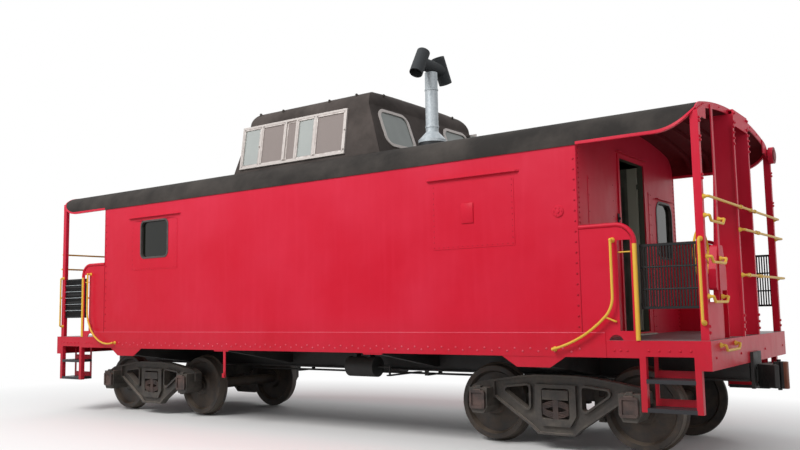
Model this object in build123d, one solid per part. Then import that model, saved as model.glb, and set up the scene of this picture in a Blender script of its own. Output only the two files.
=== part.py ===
from build123d import *
from math import atan, cos, degrees, hypot, radians, sin
import os

# A steel cabin car for the tail of a freight train: a hollow red body with an open
# platform at each end, a lookout cupola on the roof and two four-wheel trucks.
# +X runs along the car to its front end and +Z is up. Z is zero at the bottom of the
# wheel flanges, half-way along the car. All sizes are in millimetres.
# The two ends are the same end turned half round, and so are the two sides.

# Wheels and trucks
WHEEL_DIAMETER = 838
FLANGE_HEIGHT = 25
RIM_WIDTH = 140
BACK_TO_BACK = 1356
AXLE_DIAMETER = 150
JOURNAL_DIAMETER = 120
WHEELBASE = 1727
TRUCK_CENTRES = 6706
SIDE_FRAME_Y = 985
SIDE_FRAME_THICKNESS = 110
BOX_WIDTH = 230

# Body, with heights above the top of the rail
BODY_LENGTH = 7810
BODY_WIDTH = 3020
WALL = 60
SHEET = 12
SILL_HEIGHT = 985
DECK_HEIGHT = 1150
DECK_THICKNESS = 50
EAVE_HEIGHT = 3100
ROOF_RISE = 420
RIDGE_HEIGHT = EAVE_HEIGHT + ROOF_RISE
EAVE_RADIUS = 300
ROOF_THICKNESS = 35
ROOF_OVERHANG = 12
ROOF_LENGTH = 10160

# End platforms. The coupler's reach is measured from the end sill.
END_SILL_LENGTH = 10260
END_SILL_HEIGHT = 880
END_POST_FACE = 5105
STEP_START = 4465
STEP_END = 5035
STEP_BOTTOM = 486
WAIST_HEIGHT = 2240
WAIST_END = 4440
COUPLER_HEIGHT = 745
COUPLER_REACH = 310

# Doors and windows. Their tops follow the eave.
DOOR_WIDTH = 760
DOOR_HEAD = 20
DOOR_TOP = EAVE_HEIGHT + DOOR_HEAD
DOOR_SILL = 30
DOOR_THICKNESS = 40
DOOR_GAP = 12
WINDOW_WIDTH = 634
WINDOW_HEIGHT = 567
WINDOW_X = -2717
HOOD_DROP = 195
HOOD_GAP = 45
HOOD_HEIGHT = EAVE_HEIGHT - HOOD_DROP
WINDOW_SILL = HOOD_HEIGHT - HOOD_GAP - WINDOW_HEIGHT

# Cupola, sized where it leaves the roof, just below the ridge, and at its shoulder
CUPOLA_SINK = 100
CUPOLA_SIDE_RISE = 627
CUPOLA_CROWN_RISE = 243
CUPOLA_BASE = RIDGE_HEIGHT - CUPOLA_SINK
CUPOLA_SHOULDER = CUPOLA_BASE + CUPOLA_SIDE_RISE
CUPOLA_CROWN = CUPOLA_SHOULDER + CUPOLA_CROWN_RISE
CUPOLA_BASE_WIDTH = 2580
CUPOLA_SHOULDER_WIDTH = 2400
CUPOLA_BASE_LENGTH = 2520
CUPOLA_SHOULDER_LENGTH = 2080
CUPOLA_WALL = 45
LOOKOUT_START = -1150
LOOKOUT_END = 717
LOOKOUT_HEIGHT = 600

# Chimney
CHIMNEY_X = 1800
CHIMNEY_Y = -930
CHIMNEY_DIAMETER = 155
CHIMNEY_RISE = 830
CHIMNEY_TOP = RIDGE_HEIGHT + CHIMNEY_RISE
COWL_SPAN = 480
COWL_LENGTH = 340
COWL_LEAN = 30

# Places that follow from the sizes above
RAIL = FLANGE_HEIGHT
TREAD_RADIUS = WHEEL_DIAMETER / 2
FLANGE_RADIUS = TREAD_RADIUS + FLANGE_HEIGHT
AXLE_Z = FLANGE_RADIUS
HALF = BODY_WIDTH / 2
BODY_END = BODY_LENGTH / 2
ROOF_END = ROOF_LENGTH / 2
SILL_END = END_SILL_LENGTH / 2
TRUCK_X = TRUCK_CENTRES / 2
SILL_Z = RAIL + SILL_HEIGHT
DECK_Z = RAIL + DECK_HEIGHT
FLOOR_Z = DECK_Z - DECK_THICKNESS
EAVE_Z = RAIL + EAVE_HEIGHT
RIDGE_Z = RAIL + RIDGE_HEIGHT
WAIST_Z = RAIL + WAIST_HEIGHT
END_SILL_Z = RAIL + END_SILL_HEIGHT
COUPLER_Z = RAIL + COUPLER_HEIGHT
EAVE_CENTRE_Y = HALF + ROOF_OVERHANG - EAVE_RADIUS
EAVE_RISE = RIDGE_Z - EAVE_Z
CROWN_RADIUS = (EAVE_CENTRE_Y**2 / (EAVE_RISE - EAVE_RADIUS) + EAVE_RISE + EAVE_RADIUS) / 2


def block(x, y, z):
    """A box from pairs of low and high places along each axis."""
    return Pos(x[0], y[0], z[0]) * Box(x[1] - x[0], y[1] - y[0], z[1] - z[0], align=Align.MIN)


def face_of(points, radius=0):
    """A flat outline from its corners, all rounded when a radius is given."""
    face = make_face(Polyline(*points, close=True))
    return fillet(face.vertices(), radius) if radius else face


def along_y(face, y):
    """A prism from an outline drawn in X and Z, between two places along Y."""
    return extrude(Plane.XZ.offset(-y[1]) * face, amount=y[1] - y[0])


def along_x(face, x):
    """A prism from an outline drawn in Y and Z, between two places along X."""
    return extrude(Plane.YZ.offset(x[0]) * face, amount=x[1] - x[0])


def along_z(face, z):
    """A prism from an outline drawn in X and Y, between two heights."""
    return extrude(Plane.XY.offset(z[0]) * face, amount=z[1] - z[0])


def upright(x, y, z, radius):
    """A round bar standing between two heights."""
    return Pos(x, y, z[0]) * Cylinder(radius, z[1] - z[0], align=(Align.CENTER, Align.CENTER, Align.MIN))


def window_face(centre, low, width, height, radius):
    """A rounded window outline from its middle and its lower edge."""
    return Pos(centre, low + height / 2) * RectangleRounded(width, height, radius)


def rod(points, radius, bend):
    """A round bar along a bent path."""
    path = FilletPolyline(*points, radius=bend) if len(points) > 2 else Polyline(*points)
    start = Plane(origin=path @ 0, z_dir=path % 0)
    return sweep(start * Circle(radius), path=path)


def turned(shape):
    """The same piece at the other end of the car, turned half round."""
    return Rot(0, 0, 180) * shape


def mirrored(shape):
    """The same piece on the other side of the car."""
    return mirror(shape, about=Plane.XZ)


def save(name, *pieces):
    """Writes one node, made of one or more solids."""
    solids = [solid for piece in pieces for solid in piece.solids()]
    export_step(Compound(children=solids) if len(solids) > 1 else solids[0], f"parts/{name}.step")


# Roof section


def arch_face(grow, base):
    """The roof's outline in Y and Z, closed by a flat base: two eave arcs that run
    into one long crown arc."""
    eave = EAVE_RADIUS + grow
    crown_centre = RIDGE_Z - CROWN_RADIUS
    lean = hypot(EAVE_CENTRE_Y, EAVE_Z - crown_centre)
    join_y = EAVE_CENTRE_Y + eave * EAVE_CENTRE_Y / lean
    join_z = EAVE_Z + eave * (EAVE_Z - crown_centre) / lean
    edge = EAVE_CENTRE_Y + eave
    half_y = EAVE_CENTRE_Y + eave * cos(radians(45))
    half_z = EAVE_Z + eave * sin(radians(45))
    right = ThreePointArc((edge, EAVE_Z), (half_y, half_z), (join_y, join_z))
    crown = ThreePointArc((join_y, join_z), (0, RIDGE_Z + grow), (-join_y, join_z))
    left = ThreePointArc((-join_y, join_z), (-half_y, half_z), (-edge, EAVE_Z))
    corners = [(-edge, base), (edge, base)]
    if base < EAVE_Z:
        corners = [(-edge, EAVE_Z)] + corners + [(edge, EAVE_Z)]
    return make_face([right, crown, left, Polyline(*corners)])


def roof_shell(x, outer=0, inner=-ROOF_THICKNESS):
    """A length of the roof sheet between two places along X."""
    below = EAVE_Z - EAVE_RADIUS
    shell = along_x(arch_face(outer, EAVE_Z), x) - along_x(arch_face(inner, below), x)
    return shell


# Underframe

CENTRE_SILL_WIDTH = 330
CENTRE_SILL_BOTTOM = RAIL + 690
CENTRE_SILL_WEB = 16
CENTRE_SILL_FOOT = 60
BOLSTER_WIDTH = 300
BOLSTER_TIP = SILL_Z - 90
BEARER_X = 1284
BEARER_THICKNESS = 90
BEARER_RISE = 60
CENTRE_PLATE_RADIUS = 150
CENTRE_PLATE_Z = RAIL + 655


def centre_sill():
    """Two webs under a cover plate, with feet turned out at the bottom."""
    half = CENTRE_SILL_WIDTH / 2
    foot = half + CENTRE_SILL_FOOT
    inner = half - CENTRE_SILL_WEB
    low = CENTRE_SILL_BOTTOM
    ledge = low + CENTRE_SILL_WEB
    points = [(-foot, low), (-inner, low), (-inner, FLOOR_Z - CENTRE_SILL_WEB)]
    points += [(inner, FLOOR_Z - CENTRE_SILL_WEB), (inner, low), (foot, low), (foot, ledge), (half, ledge)]
    points += [(half, FLOOR_Z), (-half, FLOOR_Z), (-half, ledge), (-foot, ledge)]
    return along_x(face_of(points), (-SILL_END + SHEET, SILL_END - SHEET))


def cross_member(x, width, middle, tip):
    """The two arms of a member across the car, each deep at the centre sill and shallow
    at the side sheet, and the filler between the sill's webs."""
    outer = HALF - SHEET
    root = CENTRE_SILL_WIDTH / 2
    bend = root + CENTRE_SILL_FOOT
    low = max(middle, CENTRE_SILL_BOTTOM + CENTRE_SILL_WEB)
    arm = face_of([(root, FLOOR_Z), (root, low), (bend, low), (outer, tip), (outer, FLOOR_Z)])
    span = (x - width / 2, x + width / 2)
    inner = root - CENTRE_SILL_WEB
    filler = block(span, (-inner, inner), (middle, FLOOR_Z - CENTRE_SILL_WEB))
    return along_x(arm, span), mirrored(along_x(arm, span)), filler


def underframe():
    pieces = [centre_sill()]
    for x in (-TRUCK_X, TRUCK_X):
        pieces += cross_member(x, BOLSTER_WIDTH, CENTRE_SILL_BOTTOM, BOLSTER_TIP)
        pieces.append(upright(x, 0, (CENTRE_PLATE_Z, CENTRE_SILL_BOTTOM), CENTRE_PLATE_RADIUS))
    for x in (-BEARER_X, BEARER_X):
        pieces += cross_member(x, BEARER_THICKNESS, CENTRE_SILL_BOTTOM + BEARER_RISE, SILL_Z)
    return pieces


# Body panels

TAB_DEPTH = 110
TAB_TOP = 360
TAB_BOTTOM = 186
SMALL_TAB_TOP = 150
SMALL_TAB_BOTTOM = 130
SMALL_TAB_DEPTH = 18
SILL_FLANGE = 30
BAND_TOP = RAIL + 1223
BAND_PROUD = 5
BAND_END = 4140
WINDOW_RADIUS = 90
HOOD_LENGTH = 1180
HOOD_REACH = 35
HOOD_THICKNESS = 14
PLATED_X = 2676
PLATED_GAP = 55
PLATED_WIDTH = 1030
PLATED_HEIGHT = 720
PLATED_SILL = HOOD_HEIGHT - PLATED_GAP - PLATED_HEIGHT
PLATED_RADIUS = 12
PLATED_PROUD = 4


def side_outline():
    """The side sheet in X and Z, with a tab under each bolster and cross bearer."""
    points = [(-BODY_END, SILL_Z)]
    # middle, half width at the top, half width at the bottom, depth
    for x, top, bottom, depth in (
        (-TRUCK_X, TAB_TOP, TAB_BOTTOM, TAB_DEPTH),
        (-BEARER_X, SMALL_TAB_TOP, SMALL_TAB_BOTTOM, SMALL_TAB_DEPTH),
        (BEARER_X, SMALL_TAB_TOP, SMALL_TAB_BOTTOM, SMALL_TAB_DEPTH),
        (TRUCK_X, TAB_TOP, TAB_BOTTOM, TAB_DEPTH),
    ):
        points += [(x - top, SILL_Z), (x - bottom, SILL_Z - depth)]
        points += [(x + bottom, SILL_Z - depth), (x + top, SILL_Z)]
    points += [(BODY_END, SILL_Z), (BODY_END, EAVE_Z), (-BODY_END, EAVE_Z)]
    return face_of(points)


def hood(x, z, length):
    """A drip strip over a window, its ends cut back."""
    half = length / 2
    points = [(x - half, 0), (x - half + HOOD_REACH, -HOOD_REACH)]
    points += [(x + half - HOOD_REACH, -HOOD_REACH), (x + half, 0)]
    return Pos(0, -HALF, 0) * along_z(face_of(points), (z, z + HOOD_THICKNESS))


def side_panel():
    """The near side: outer sheet with a lapped band along its foot, framed wall above
    the floor and a turned-in sill that the cross members pass through."""
    inside = (-HALF + SHEET, -HALF + WALL)
    window = window_face(WINDOW_X, RAIL + WINDOW_SILL, WINDOW_WIDTH, WINDOW_HEIGHT, WINDOW_RADIUS)
    panel = along_y(side_outline(), (-HALF, -HALF + SHEET))
    panel += block((-BODY_END, BODY_END), inside, (DECK_Z, EAVE_Z))
    panel += block((-BODY_END, BODY_END), (inside[0], inside[1] + SILL_FLANGE), (SILL_Z, SILL_Z + SHEET))
    panel += block((-BAND_END, BAND_END), (-HALF - BAND_PROUD, -HALF), (SILL_Z, BAND_TOP))
    panel -= along_y(window, (-HALF - WALL, -HALF + 2 * WALL))
    plated = window_face(PLATED_X, RAIL + PLATED_SILL, PLATED_WIDTH, PLATED_HEIGHT, PLATED_RADIUS)
    panel += along_y(plated, (-HALF - PLATED_PROUD, -HALF))
    for x in (WINDOW_X, PLATED_X):
        panel += hood(x, RAIL + HOOD_HEIGHT, HOOD_LENGTH)
    for place, width in ((BEARER_X, BEARER_THICKNESS), (TRUCK_X, BOLSTER_WIDTH)):
        for x in (-place, place):
            slot = (x - width / 2, x + width / 2)
            panel -= block(slot, (inside[0], inside[1] + WALL), (SILL_Z, FLOOR_Z))
    return panel


END_WINDOW_Y = 1075
END_WINDOW_SILL = 2040
END_WINDOW_WIDTH = 590
END_WINDOW_HEIGHT = 715
END_WINDOW_RADIUS = 150
DOORWAY_BOTTOM = DECK_Z + DOOR_SILL
JAMB_WIDTH = 45
JAMB_PROUD = 14
DRIP_HEIGHT = 12
DRIP_LENGTH = 900
DRIP_REACH = 40
DRIP_LIFT = 15


def end_drip(y, z, length):
    """A drip strip on the front end wall."""
    return block((BODY_END, BODY_END + DRIP_REACH), (y - length / 2, y + length / 2), (z, z + DRIP_HEIGHT))


def end_wall():
    """The front end wall, with its doorway, door frame, one window and drip strips."""
    x = (BODY_END - WALL, BODY_END)
    through = (x[0] - WALL, x[1] + WALL)
    wall = along_x(arch_face(-ROOF_THICKNESS, DECK_Z), x)
    for low, high in ((-HALF - WALL, -HALF + WALL), (HALF - WALL, HALF + WALL)):
        wall -= block(through, (low, high), (DECK_Z - WALL, EAVE_Z))
    jamb = DOOR_WIDTH / 2 + JAMB_WIDTH
    top = RAIL + DOOR_TOP
    wall += block((x[1], x[1] + JAMB_PROUD), (-jamb, jamb), (DECK_Z, top + JAMB_WIDTH))
    wall -= block(through, (-DOOR_WIDTH / 2, DOOR_WIDTH / 2), (DOORWAY_BOTTOM, top))
    sill = RAIL + END_WINDOW_SILL
    window = window_face(END_WINDOW_Y, sill, END_WINDOW_WIDTH, END_WINDOW_HEIGHT, END_WINDOW_RADIUS)
    wall -= along_x(window, through)
    wall += end_drip(0, top + JAMB_WIDTH + DRIP_LIFT, DRIP_LENGTH)
    wall += end_drip(END_WINDOW_Y, sill + END_WINDOW_HEIGHT + DRIP_LIFT, END_WINDOW_WIDTH)
    return wall


def floor_plate():
    inner = HALF - SHEET
    return block((-BODY_END, BODY_END), (-inner, inner), (FLOOR_Z, DECK_Z))


# Doors, stored as in use: the front one is swung into the cabin, the rear one is shut

DOOR_LEAF = DOOR_WIDTH - 2 * DOOR_GAP
DOOR_WINDOW_WIDTH = 420
DOOR_WINDOW_HEIGHT = 700
DOOR_WINDOW_LIFT = 1000
DOOR_WINDOW_RADIUS = 60
DOOR_PANEL_LIFT = 150
DOOR_PANEL_RADIUS = 20
DOOR_PANEL_DEPTH = 10
DOOR_GLASS = 6
KNOB_RADIUS = 18
KNOB_REACH = 40
KNOB_INSET = 60
KNOB_LIFT = 900
HINGE_Y = DOOR_WIDTH / 2 - DOOR_GAP
HINGE_X = BODY_END - WALL - DOOR_GAP
KNUCKLE_RADIUS = 7
KNUCKLE_LENGTH = 60
KNUCKLE_CLEARANCE = 2
HINGE_INSET = 270
HINGE_HEIGHTS = (DOORWAY_BOTTOM + HINGE_INSET, RAIL + DOOR_TOP - HINGE_INSET)


def hinge_straps():
    """Half knuckles fixed to the front end wall, between those of the door."""
    straps = []
    for z in HINGE_HEIGHTS:
        barrel = upright(HINGE_X, HINGE_Y, (z, z + KNUCKLE_LENGTH), KNUCKLE_RADIUS)
        y = (HINGE_Y - KNUCKLE_RADIUS / 2, HINGE_Y + KNUCKLE_RADIUS / 2)
        straps.append(barrel + block((HINGE_X, BODY_END - WALL), y, (z, z + KNUCKLE_LENGTH)))
    return straps


def shut_door():
    """A door and its pane, standing in the front doorway: window above, recessed panel
    below and a knob on both faces."""
    x = (HINGE_X - DOOR_THICKNESS, HINGE_X)
    z = (DOORWAY_BOTTOM + DOOR_GAP, RAIL + DOOR_TOP - DOOR_GAP)
    through = (x[0] - WALL, x[1] + WALL)
    width = DOOR_WINDOW_WIDTH
    window = window_face(0, z[0] + DOOR_WINDOW_LIFT, width, DOOR_WINDOW_HEIGHT, DOOR_WINDOW_RADIUS)
    panel = window_face(0, z[0] + DOOR_PANEL_LIFT, width, DOOR_WINDOW_HEIGHT, DOOR_PANEL_RADIUS)
    leaf = block(x, (-DOOR_LEAF / 2, DOOR_LEAF / 2), z)
    leaf -= along_x(window, through)
    leaf -= along_x(panel, (x[1] - DOOR_PANEL_DEPTH, through[1]))
    knob = Pos((x[0] + x[1]) / 2, KNOB_INSET - DOOR_LEAF / 2, z[0] + KNOB_LIFT)
    leaf += knob * Rot(0, 90, 0) * Cylinder(KNOB_RADIUS, DOOR_THICKNESS + 2 * KNOB_REACH)
    for low in HINGE_HEIGHTS:
        slot = (low - KNUCKLE_CLEARANCE, low + KNUCKLE_LENGTH + KNUCKLE_CLEARANCE)
        leaf -= upright(HINGE_X, HINGE_Y, slot, KNUCKLE_RADIUS + KNUCKLE_CLEARANCE)
        leaf += upright(HINGE_X, HINGE_Y, (slot[0] - KNUCKLE_LENGTH, slot[0]), KNUCKLE_RADIUS)
        leaf += upright(HINGE_X, HINGE_Y, (slot[1], slot[1] + KNUCKLE_LENGTH), KNUCKLE_RADIUS)
    middle = (x[0] + x[1] - DOOR_GLASS) / 2
    return Compound(children=[leaf, along_x(window, (middle, middle + DOOR_GLASS))])


def open_door():
    """The same door swung 90 degrees into the cabin on the hinge at its far edge."""
    hinge = Pos(HINGE_X, HINGE_Y, 0)
    return hinge * Rot(0, 0, -90) * hinge.inverse() * shut_door()


# Roof

ROOF_TRIM_DEPTH = 30
ROOF_TRIM_PROUD = 4
ROOF_TRIM_BAND = 60
SWEEP_START = 4700
SWEEP_RISE = 210
CARLINES = 4
CARLINE_DEPTH = 45
CARLINE_WIDTH = 40
CUPOLA_HOLE_LENGTH = CUPOLA_BASE_LENGTH - 4 * CUPOLA_WALL
CUPOLA_HOLE_WIDTH = CUPOLA_BASE_WIDTH - 4 * CUPOLA_WALL


def main_roof():
    hole = block(
        (-CUPOLA_HOLE_LENGTH / 2, CUPOLA_HOLE_LENGTH / 2),
        (-CUPOLA_HOLE_WIDTH / 2, CUPOLA_HOLE_WIDTH / 2),
        (EAVE_Z, RIDGE_Z + WALL),
    )
    return roof_shell((-BODY_END, BODY_END)) - hole


def sweep_cutter(lift):
    """What the curved edge of the platform roof leaves out, raised by a lift."""
    run = ROOF_END - SWEEP_START
    radius = (run**2 + SWEEP_RISE**2) / (2 * SWEEP_RISE)
    low = EAVE_Z - WALL
    turn = run / 2
    mid = (SWEEP_START + turn, EAVE_Z + lift + radius - (radius**2 - turn**2) ** 0.5)
    end = (ROOF_END + 1, EAVE_Z + lift + SWEEP_RISE)
    curve = ThreePointArc((SWEEP_START, EAVE_Z + lift), mid, end)
    start = (BODY_END - 1, EAVE_Z + lift)
    rest = Polyline(end, (ROOF_END + 1, low), (BODY_END - 1, low), start, (SWEEP_START, EAVE_Z + lift))
    return along_y(make_face([curve, rest]), (-2 * HALF, 2 * HALF))


def end_roof():
    """The roof over the front platform, with ribs under it."""
    sheet = roof_shell((BODY_END, ROOF_END - SHEET)) - sweep_cutter(ROOF_TRIM_DEPTH)
    pitch = (ROOF_END - BODY_END) / (CARLINES + 1)
    inner = -ROOF_THICKNESS
    for n in range(CARLINES):
        x = BODY_END + pitch * (n + 1)
        rib = roof_shell((x - CARLINE_WIDTH / 2, x + CARLINE_WIDTH / 2), inner, inner - CARLINE_DEPTH)
        sheet += rib - sweep_cutter(2 * ROOF_TRIM_DEPTH)
    return sheet


def roof_trim():
    """The red strip along the platform roof's edge and the arched band at its end."""
    proud = ROOF_TRIM_PROUD
    strip = roof_shell((BODY_END, ROOF_END - SHEET), proud, -ROOF_THICKNESS - proud)
    strip = strip & sweep_cutter(ROOF_TRIM_DEPTH)
    strip -= sweep_cutter(0)
    end = roof_shell((ROOF_END - SHEET, ROOF_END), ROOF_TRIM_PROUD, -ROOF_TRIM_BAND)
    return strip + end - sweep_cutter(0)


# Cupola

SIDE_ROLL = (230, 50)
SIDE_BULGE = (58, 0.66)
END_ROLL = 160
END_BULGE = (48, 0.64)


def cupola_form(inset, low):
    """The cupola as a solid loaf: side slopes and crown drawn in Y and Z, end slopes
    drawn in X and Z, both inset by a wall."""
    rise = CUPOLA_SIDE_RISE
    side_slope = (CUPOLA_BASE_WIDTH - CUPOLA_SHOULDER_WIDTH) / 2 / rise
    end_slope = (CUPOLA_BASE_LENGTH - CUPOLA_SHOULDER_LENGTH) / 2 / rise
    base = RAIL + CUPOLA_BASE
    shoulder = RAIL + CUPOLA_SHOULDER
    crown = RAIL + CUPOLA_CROWN - inset
    foot_y = CUPOLA_BASE_WIDTH / 2 - inset + side_slope * (base - low)
    top_y = CUPOLA_SHOULDER_WIDTH / 2 - inset
    roll_y = top_y - SIDE_ROLL[0]
    roll_z = crown - SIDE_ROLL[1]
    bulge_y = top_y - SIDE_BULGE[0]
    bulge_z = shoulder + (roll_z - shoulder) * SIDE_BULGE[1]
    curve = [
        Polyline((foot_y, low), (top_y, shoulder)),
        ThreePointArc((top_y, shoulder), (bulge_y, bulge_z), (roll_y, roll_z)),
        ThreePointArc((roll_y, roll_z), (0, crown), (-roll_y, roll_z)),
        ThreePointArc((-roll_y, roll_z), (-bulge_y, bulge_z), (-top_y, shoulder)),
        Polyline((-top_y, shoulder), (-foot_y, low), (foot_y, low)),
    ]
    foot_x = CUPOLA_BASE_LENGTH / 2 - inset + end_slope * (base - low)
    top_x = CUPOLA_SHOULDER_LENGTH / 2 - inset
    edge_x = top_x - END_ROLL
    bulge_x = top_x - END_BULGE[0]
    bulge_z = shoulder + (crown - shoulder) * END_BULGE[1]
    top = crown + 1
    profile = [
        Polyline((foot_x, low), (top_x, shoulder)),
        ThreePointArc((top_x, shoulder), (bulge_x, bulge_z), (edge_x, top)),
        Polyline((edge_x, top), (-edge_x, top)),
        ThreePointArc((-edge_x, top), (-bulge_x, bulge_z), (-top_x, shoulder)),
        Polyline((-top_x, shoulder), (-foot_x, low), (foot_x, low)),
    ]
    long = along_x(make_face(curve), (-CUPOLA_BASE_LENGTH, CUPOLA_BASE_LENGTH))
    cross = along_y(make_face(profile), (-CUPOLA_BASE_WIDTH, CUPOLA_BASE_WIDTH))
    return long & cross


SIDE_LEAN = degrees(atan((CUPOLA_BASE_WIDTH - CUPOLA_SHOULDER_WIDTH) / 2 / CUPOLA_SIDE_RISE))
END_LEAN = degrees(atan((CUPOLA_BASE_LENGTH - CUPOLA_SHOULDER_LENGTH) / 2 / CUPOLA_SIDE_RISE))
LOOKOUT_LIFT = 15
LOOKOUT_BAR = 28
LOOKOUT_PROUD = 25
PANE = 8
PANE_INSET = 4
LOOKOUT_BARS = (-780, -335, -135, 195)
CUPOLA_END_Y = 745
CUPOLA_END_WIDTH = 600
CUPOLA_END_HEIGHT = 480
CUPOLA_END_RADIUS = 110
CUPOLA_END_LIFT = 120
GASKET = 28
GASKET_PROUD = 12


def side_plane():
    """A plane on the near side of the cupola: X along the car, Y up the slope, Z out."""
    origin = (0, -CUPOLA_BASE_WIDTH / 2, RAIL + CUPOLA_BASE)
    lean = radians(SIDE_LEAN)
    return Plane(origin=origin, x_dir=(1, 0, 0), z_dir=(0, -cos(lean), sin(lean)))


def end_plane():
    """A plane on the front end of the cupola: X across the car, Y up the slope."""
    origin = (CUPOLA_BASE_LENGTH / 2, 0, RAIL + CUPOLA_BASE)
    lean = radians(END_LEAN)
    return Plane(origin=origin, x_dir=(0, 1, 0), z_dir=(cos(lean), 0, sin(lean)))


def lookout_face(margin):
    """The lookout window's outline, grown or shrunk by a margin."""
    width = LOOKOUT_END - LOOKOUT_START + 2 * margin
    height = LOOKOUT_HEIGHT + 2 * margin
    middle = (LOOKOUT_START + LOOKOUT_END) / 2
    return Pos(middle, LOOKOUT_LIFT + LOOKOUT_HEIGHT / 2) * Rectangle(width, height)


def cupola_end_face(y, margin):
    """One rounded end window of the cupola."""
    width = CUPOLA_END_WIDTH + 2 * margin
    height = CUPOLA_END_HEIGHT + 2 * margin
    place = Pos(y, CUPOLA_END_LIFT + CUPOLA_END_HEIGHT / 2)
    return place * RectangleRounded(width, height, CUPOLA_END_RADIUS + margin)


def slab(plane, face, low, high):
    """A flat piece on a tilted plane, between two distances out of it."""
    return extrude(plane.offset(low) * face, amount=high - low)


def cupola():
    low = EAVE_Z
    loaf = cupola_form(0, low) - cupola_form(CUPOLA_WALL, low)
    loaf -= along_x(arch_face(0, low - WALL), (-CUPOLA_BASE_LENGTH, CUPOLA_BASE_LENGTH))
    opening = slab(side_plane(), lookout_face(-LOOKOUT_BAR), -3 * CUPOLA_WALL, 3 * CUPOLA_WALL)
    loaf -= opening
    loaf -= turned(opening)
    for y in (-CUPOLA_END_Y, CUPOLA_END_Y):
        opening = slab(end_plane(), cupola_end_face(y, 0), -3 * CUPOLA_WALL, 3 * CUPOLA_WALL)
        loaf -= opening
        loaf -= turned(opening)
    return loaf


def lookout_frame():
    """The sliding window's frame, on the near side of the cupola."""
    ring = slab(side_plane(), lookout_face(0), 0, LOOKOUT_PROUD)
    ring -= slab(side_plane(), lookout_face(-LOOKOUT_BAR), -1, LOOKOUT_PROUD + 1)
    clear = LOOKOUT_HEIGHT - 2 * LOOKOUT_BAR
    for x in LOOKOUT_BARS:
        bar = Pos(x, LOOKOUT_LIFT + LOOKOUT_HEIGHT / 2) * Rectangle(LOOKOUT_BAR, clear)
        ring += slab(side_plane(), bar, 0, LOOKOUT_PROUD)
    return ring


def lookout_glass():
    return slab(side_plane(), lookout_face(-LOOKOUT_BAR), -PANE_INSET - PANE, -PANE_INSET)


def cupola_gasket(y):
    ring = slab(end_plane(), cupola_end_face(y, GASKET), 0, GASKET_PROUD)
    return ring - slab(end_plane(), cupola_end_face(y, -GASKET / 2), -1, GASKET_PROUD + 1)


def cupola_end_glass(y):
    return slab(end_plane(), cupola_end_face(y, 0), -PANE_INSET - PANE, -PANE_INSET)


FRAME_BAR = 26
FRAME_PROUD = 8
FRAME_DEPTH = 30


def side_window_frame():
    low = RAIL + WINDOW_SILL
    outer = window_face(WINDOW_X, low, WINDOW_WIDTH, WINDOW_HEIGHT, WINDOW_RADIUS)
    size = (WINDOW_WIDTH - 2 * FRAME_BAR, WINDOW_HEIGHT - 2 * FRAME_BAR)
    inner = window_face(WINDOW_X, low + FRAME_BAR, *size, WINDOW_RADIUS - FRAME_BAR)
    ring = along_y(outer, (-HALF - FRAME_PROUD, -HALF + FRAME_DEPTH))
    return ring - along_y(inner, (-HALF - WALL, -HALF + WALL))


def side_window_glass():
    low = RAIL + WINDOW_SILL
    face = window_face(WINDOW_X, low, WINDOW_WIDTH, WINDOW_HEIGHT, WINDOW_RADIUS)
    return along_y(face, (-HALF + FRAME_DEPTH, -HALF + FRAME_DEPTH + PANE))


def end_window_frame():
    low = RAIL + END_WINDOW_SILL
    x = (BODY_END - FRAME_DEPTH, BODY_END + FRAME_PROUD)
    outer = window_face(END_WINDOW_Y, low, END_WINDOW_WIDTH, END_WINDOW_HEIGHT, END_WINDOW_RADIUS)
    size = (END_WINDOW_WIDTH - 2 * FRAME_BAR, END_WINDOW_HEIGHT - 2 * FRAME_BAR)
    inner = window_face(END_WINDOW_Y, low + FRAME_BAR, *size, END_WINDOW_RADIUS - FRAME_BAR)
    return along_x(outer, x) - along_x(inner, (x[0] - WALL, x[1] + WALL))


def end_window_glass():
    low = RAIL + END_WINDOW_SILL
    face = window_face(END_WINDOW_Y, low, END_WINDOW_WIDTH, END_WINDOW_HEIGHT, END_WINDOW_RADIUS)
    return along_x(face, (BODY_END - FRAME_DEPTH - PANE, BODY_END - FRAME_DEPTH))


# Chimney


def roof_height(y):
    """The height of the roof's crown at a place across the car."""
    return RIDGE_Z - CROWN_RADIUS + (CROWN_RADIUS**2 - y**2) ** 0.5


SKIRT_RADIUS = 170
SKIRT_RISE = 60
SKIRT_TAPER = 100
SKIRT_LIP = 12
COWL_SHEET = 4


def chimney_pipe():
    """A pipe on a flared skirt, its foot cut to the roof."""
    top = RAIL + CHIMNEY_TOP
    r = CHIMNEY_DIAMETER / 2
    level = roof_height(CHIMNEY_Y)
    foot = level - SKIRT_RISE
    skirt = level + SKIRT_RISE
    points = [(0, foot), (SKIRT_RADIUS, foot), (SKIRT_RADIUS, skirt)]
    points += [(SKIRT_RADIUS - SKIRT_LIP, skirt + SKIRT_LIP), (r, skirt + SKIRT_TAPER), (r, top), (0, top)]
    pipe = Pos(CHIMNEY_X, CHIMNEY_Y, 0) * revolve(Plane.XZ * face_of(points), Axis.Z)
    span = (CHIMNEY_X - 2 * SKIRT_RADIUS, CHIMNEY_X + 2 * SKIRT_RADIUS)
    return pipe - along_x(arch_face(0, EAVE_Z - WALL), span)


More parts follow.
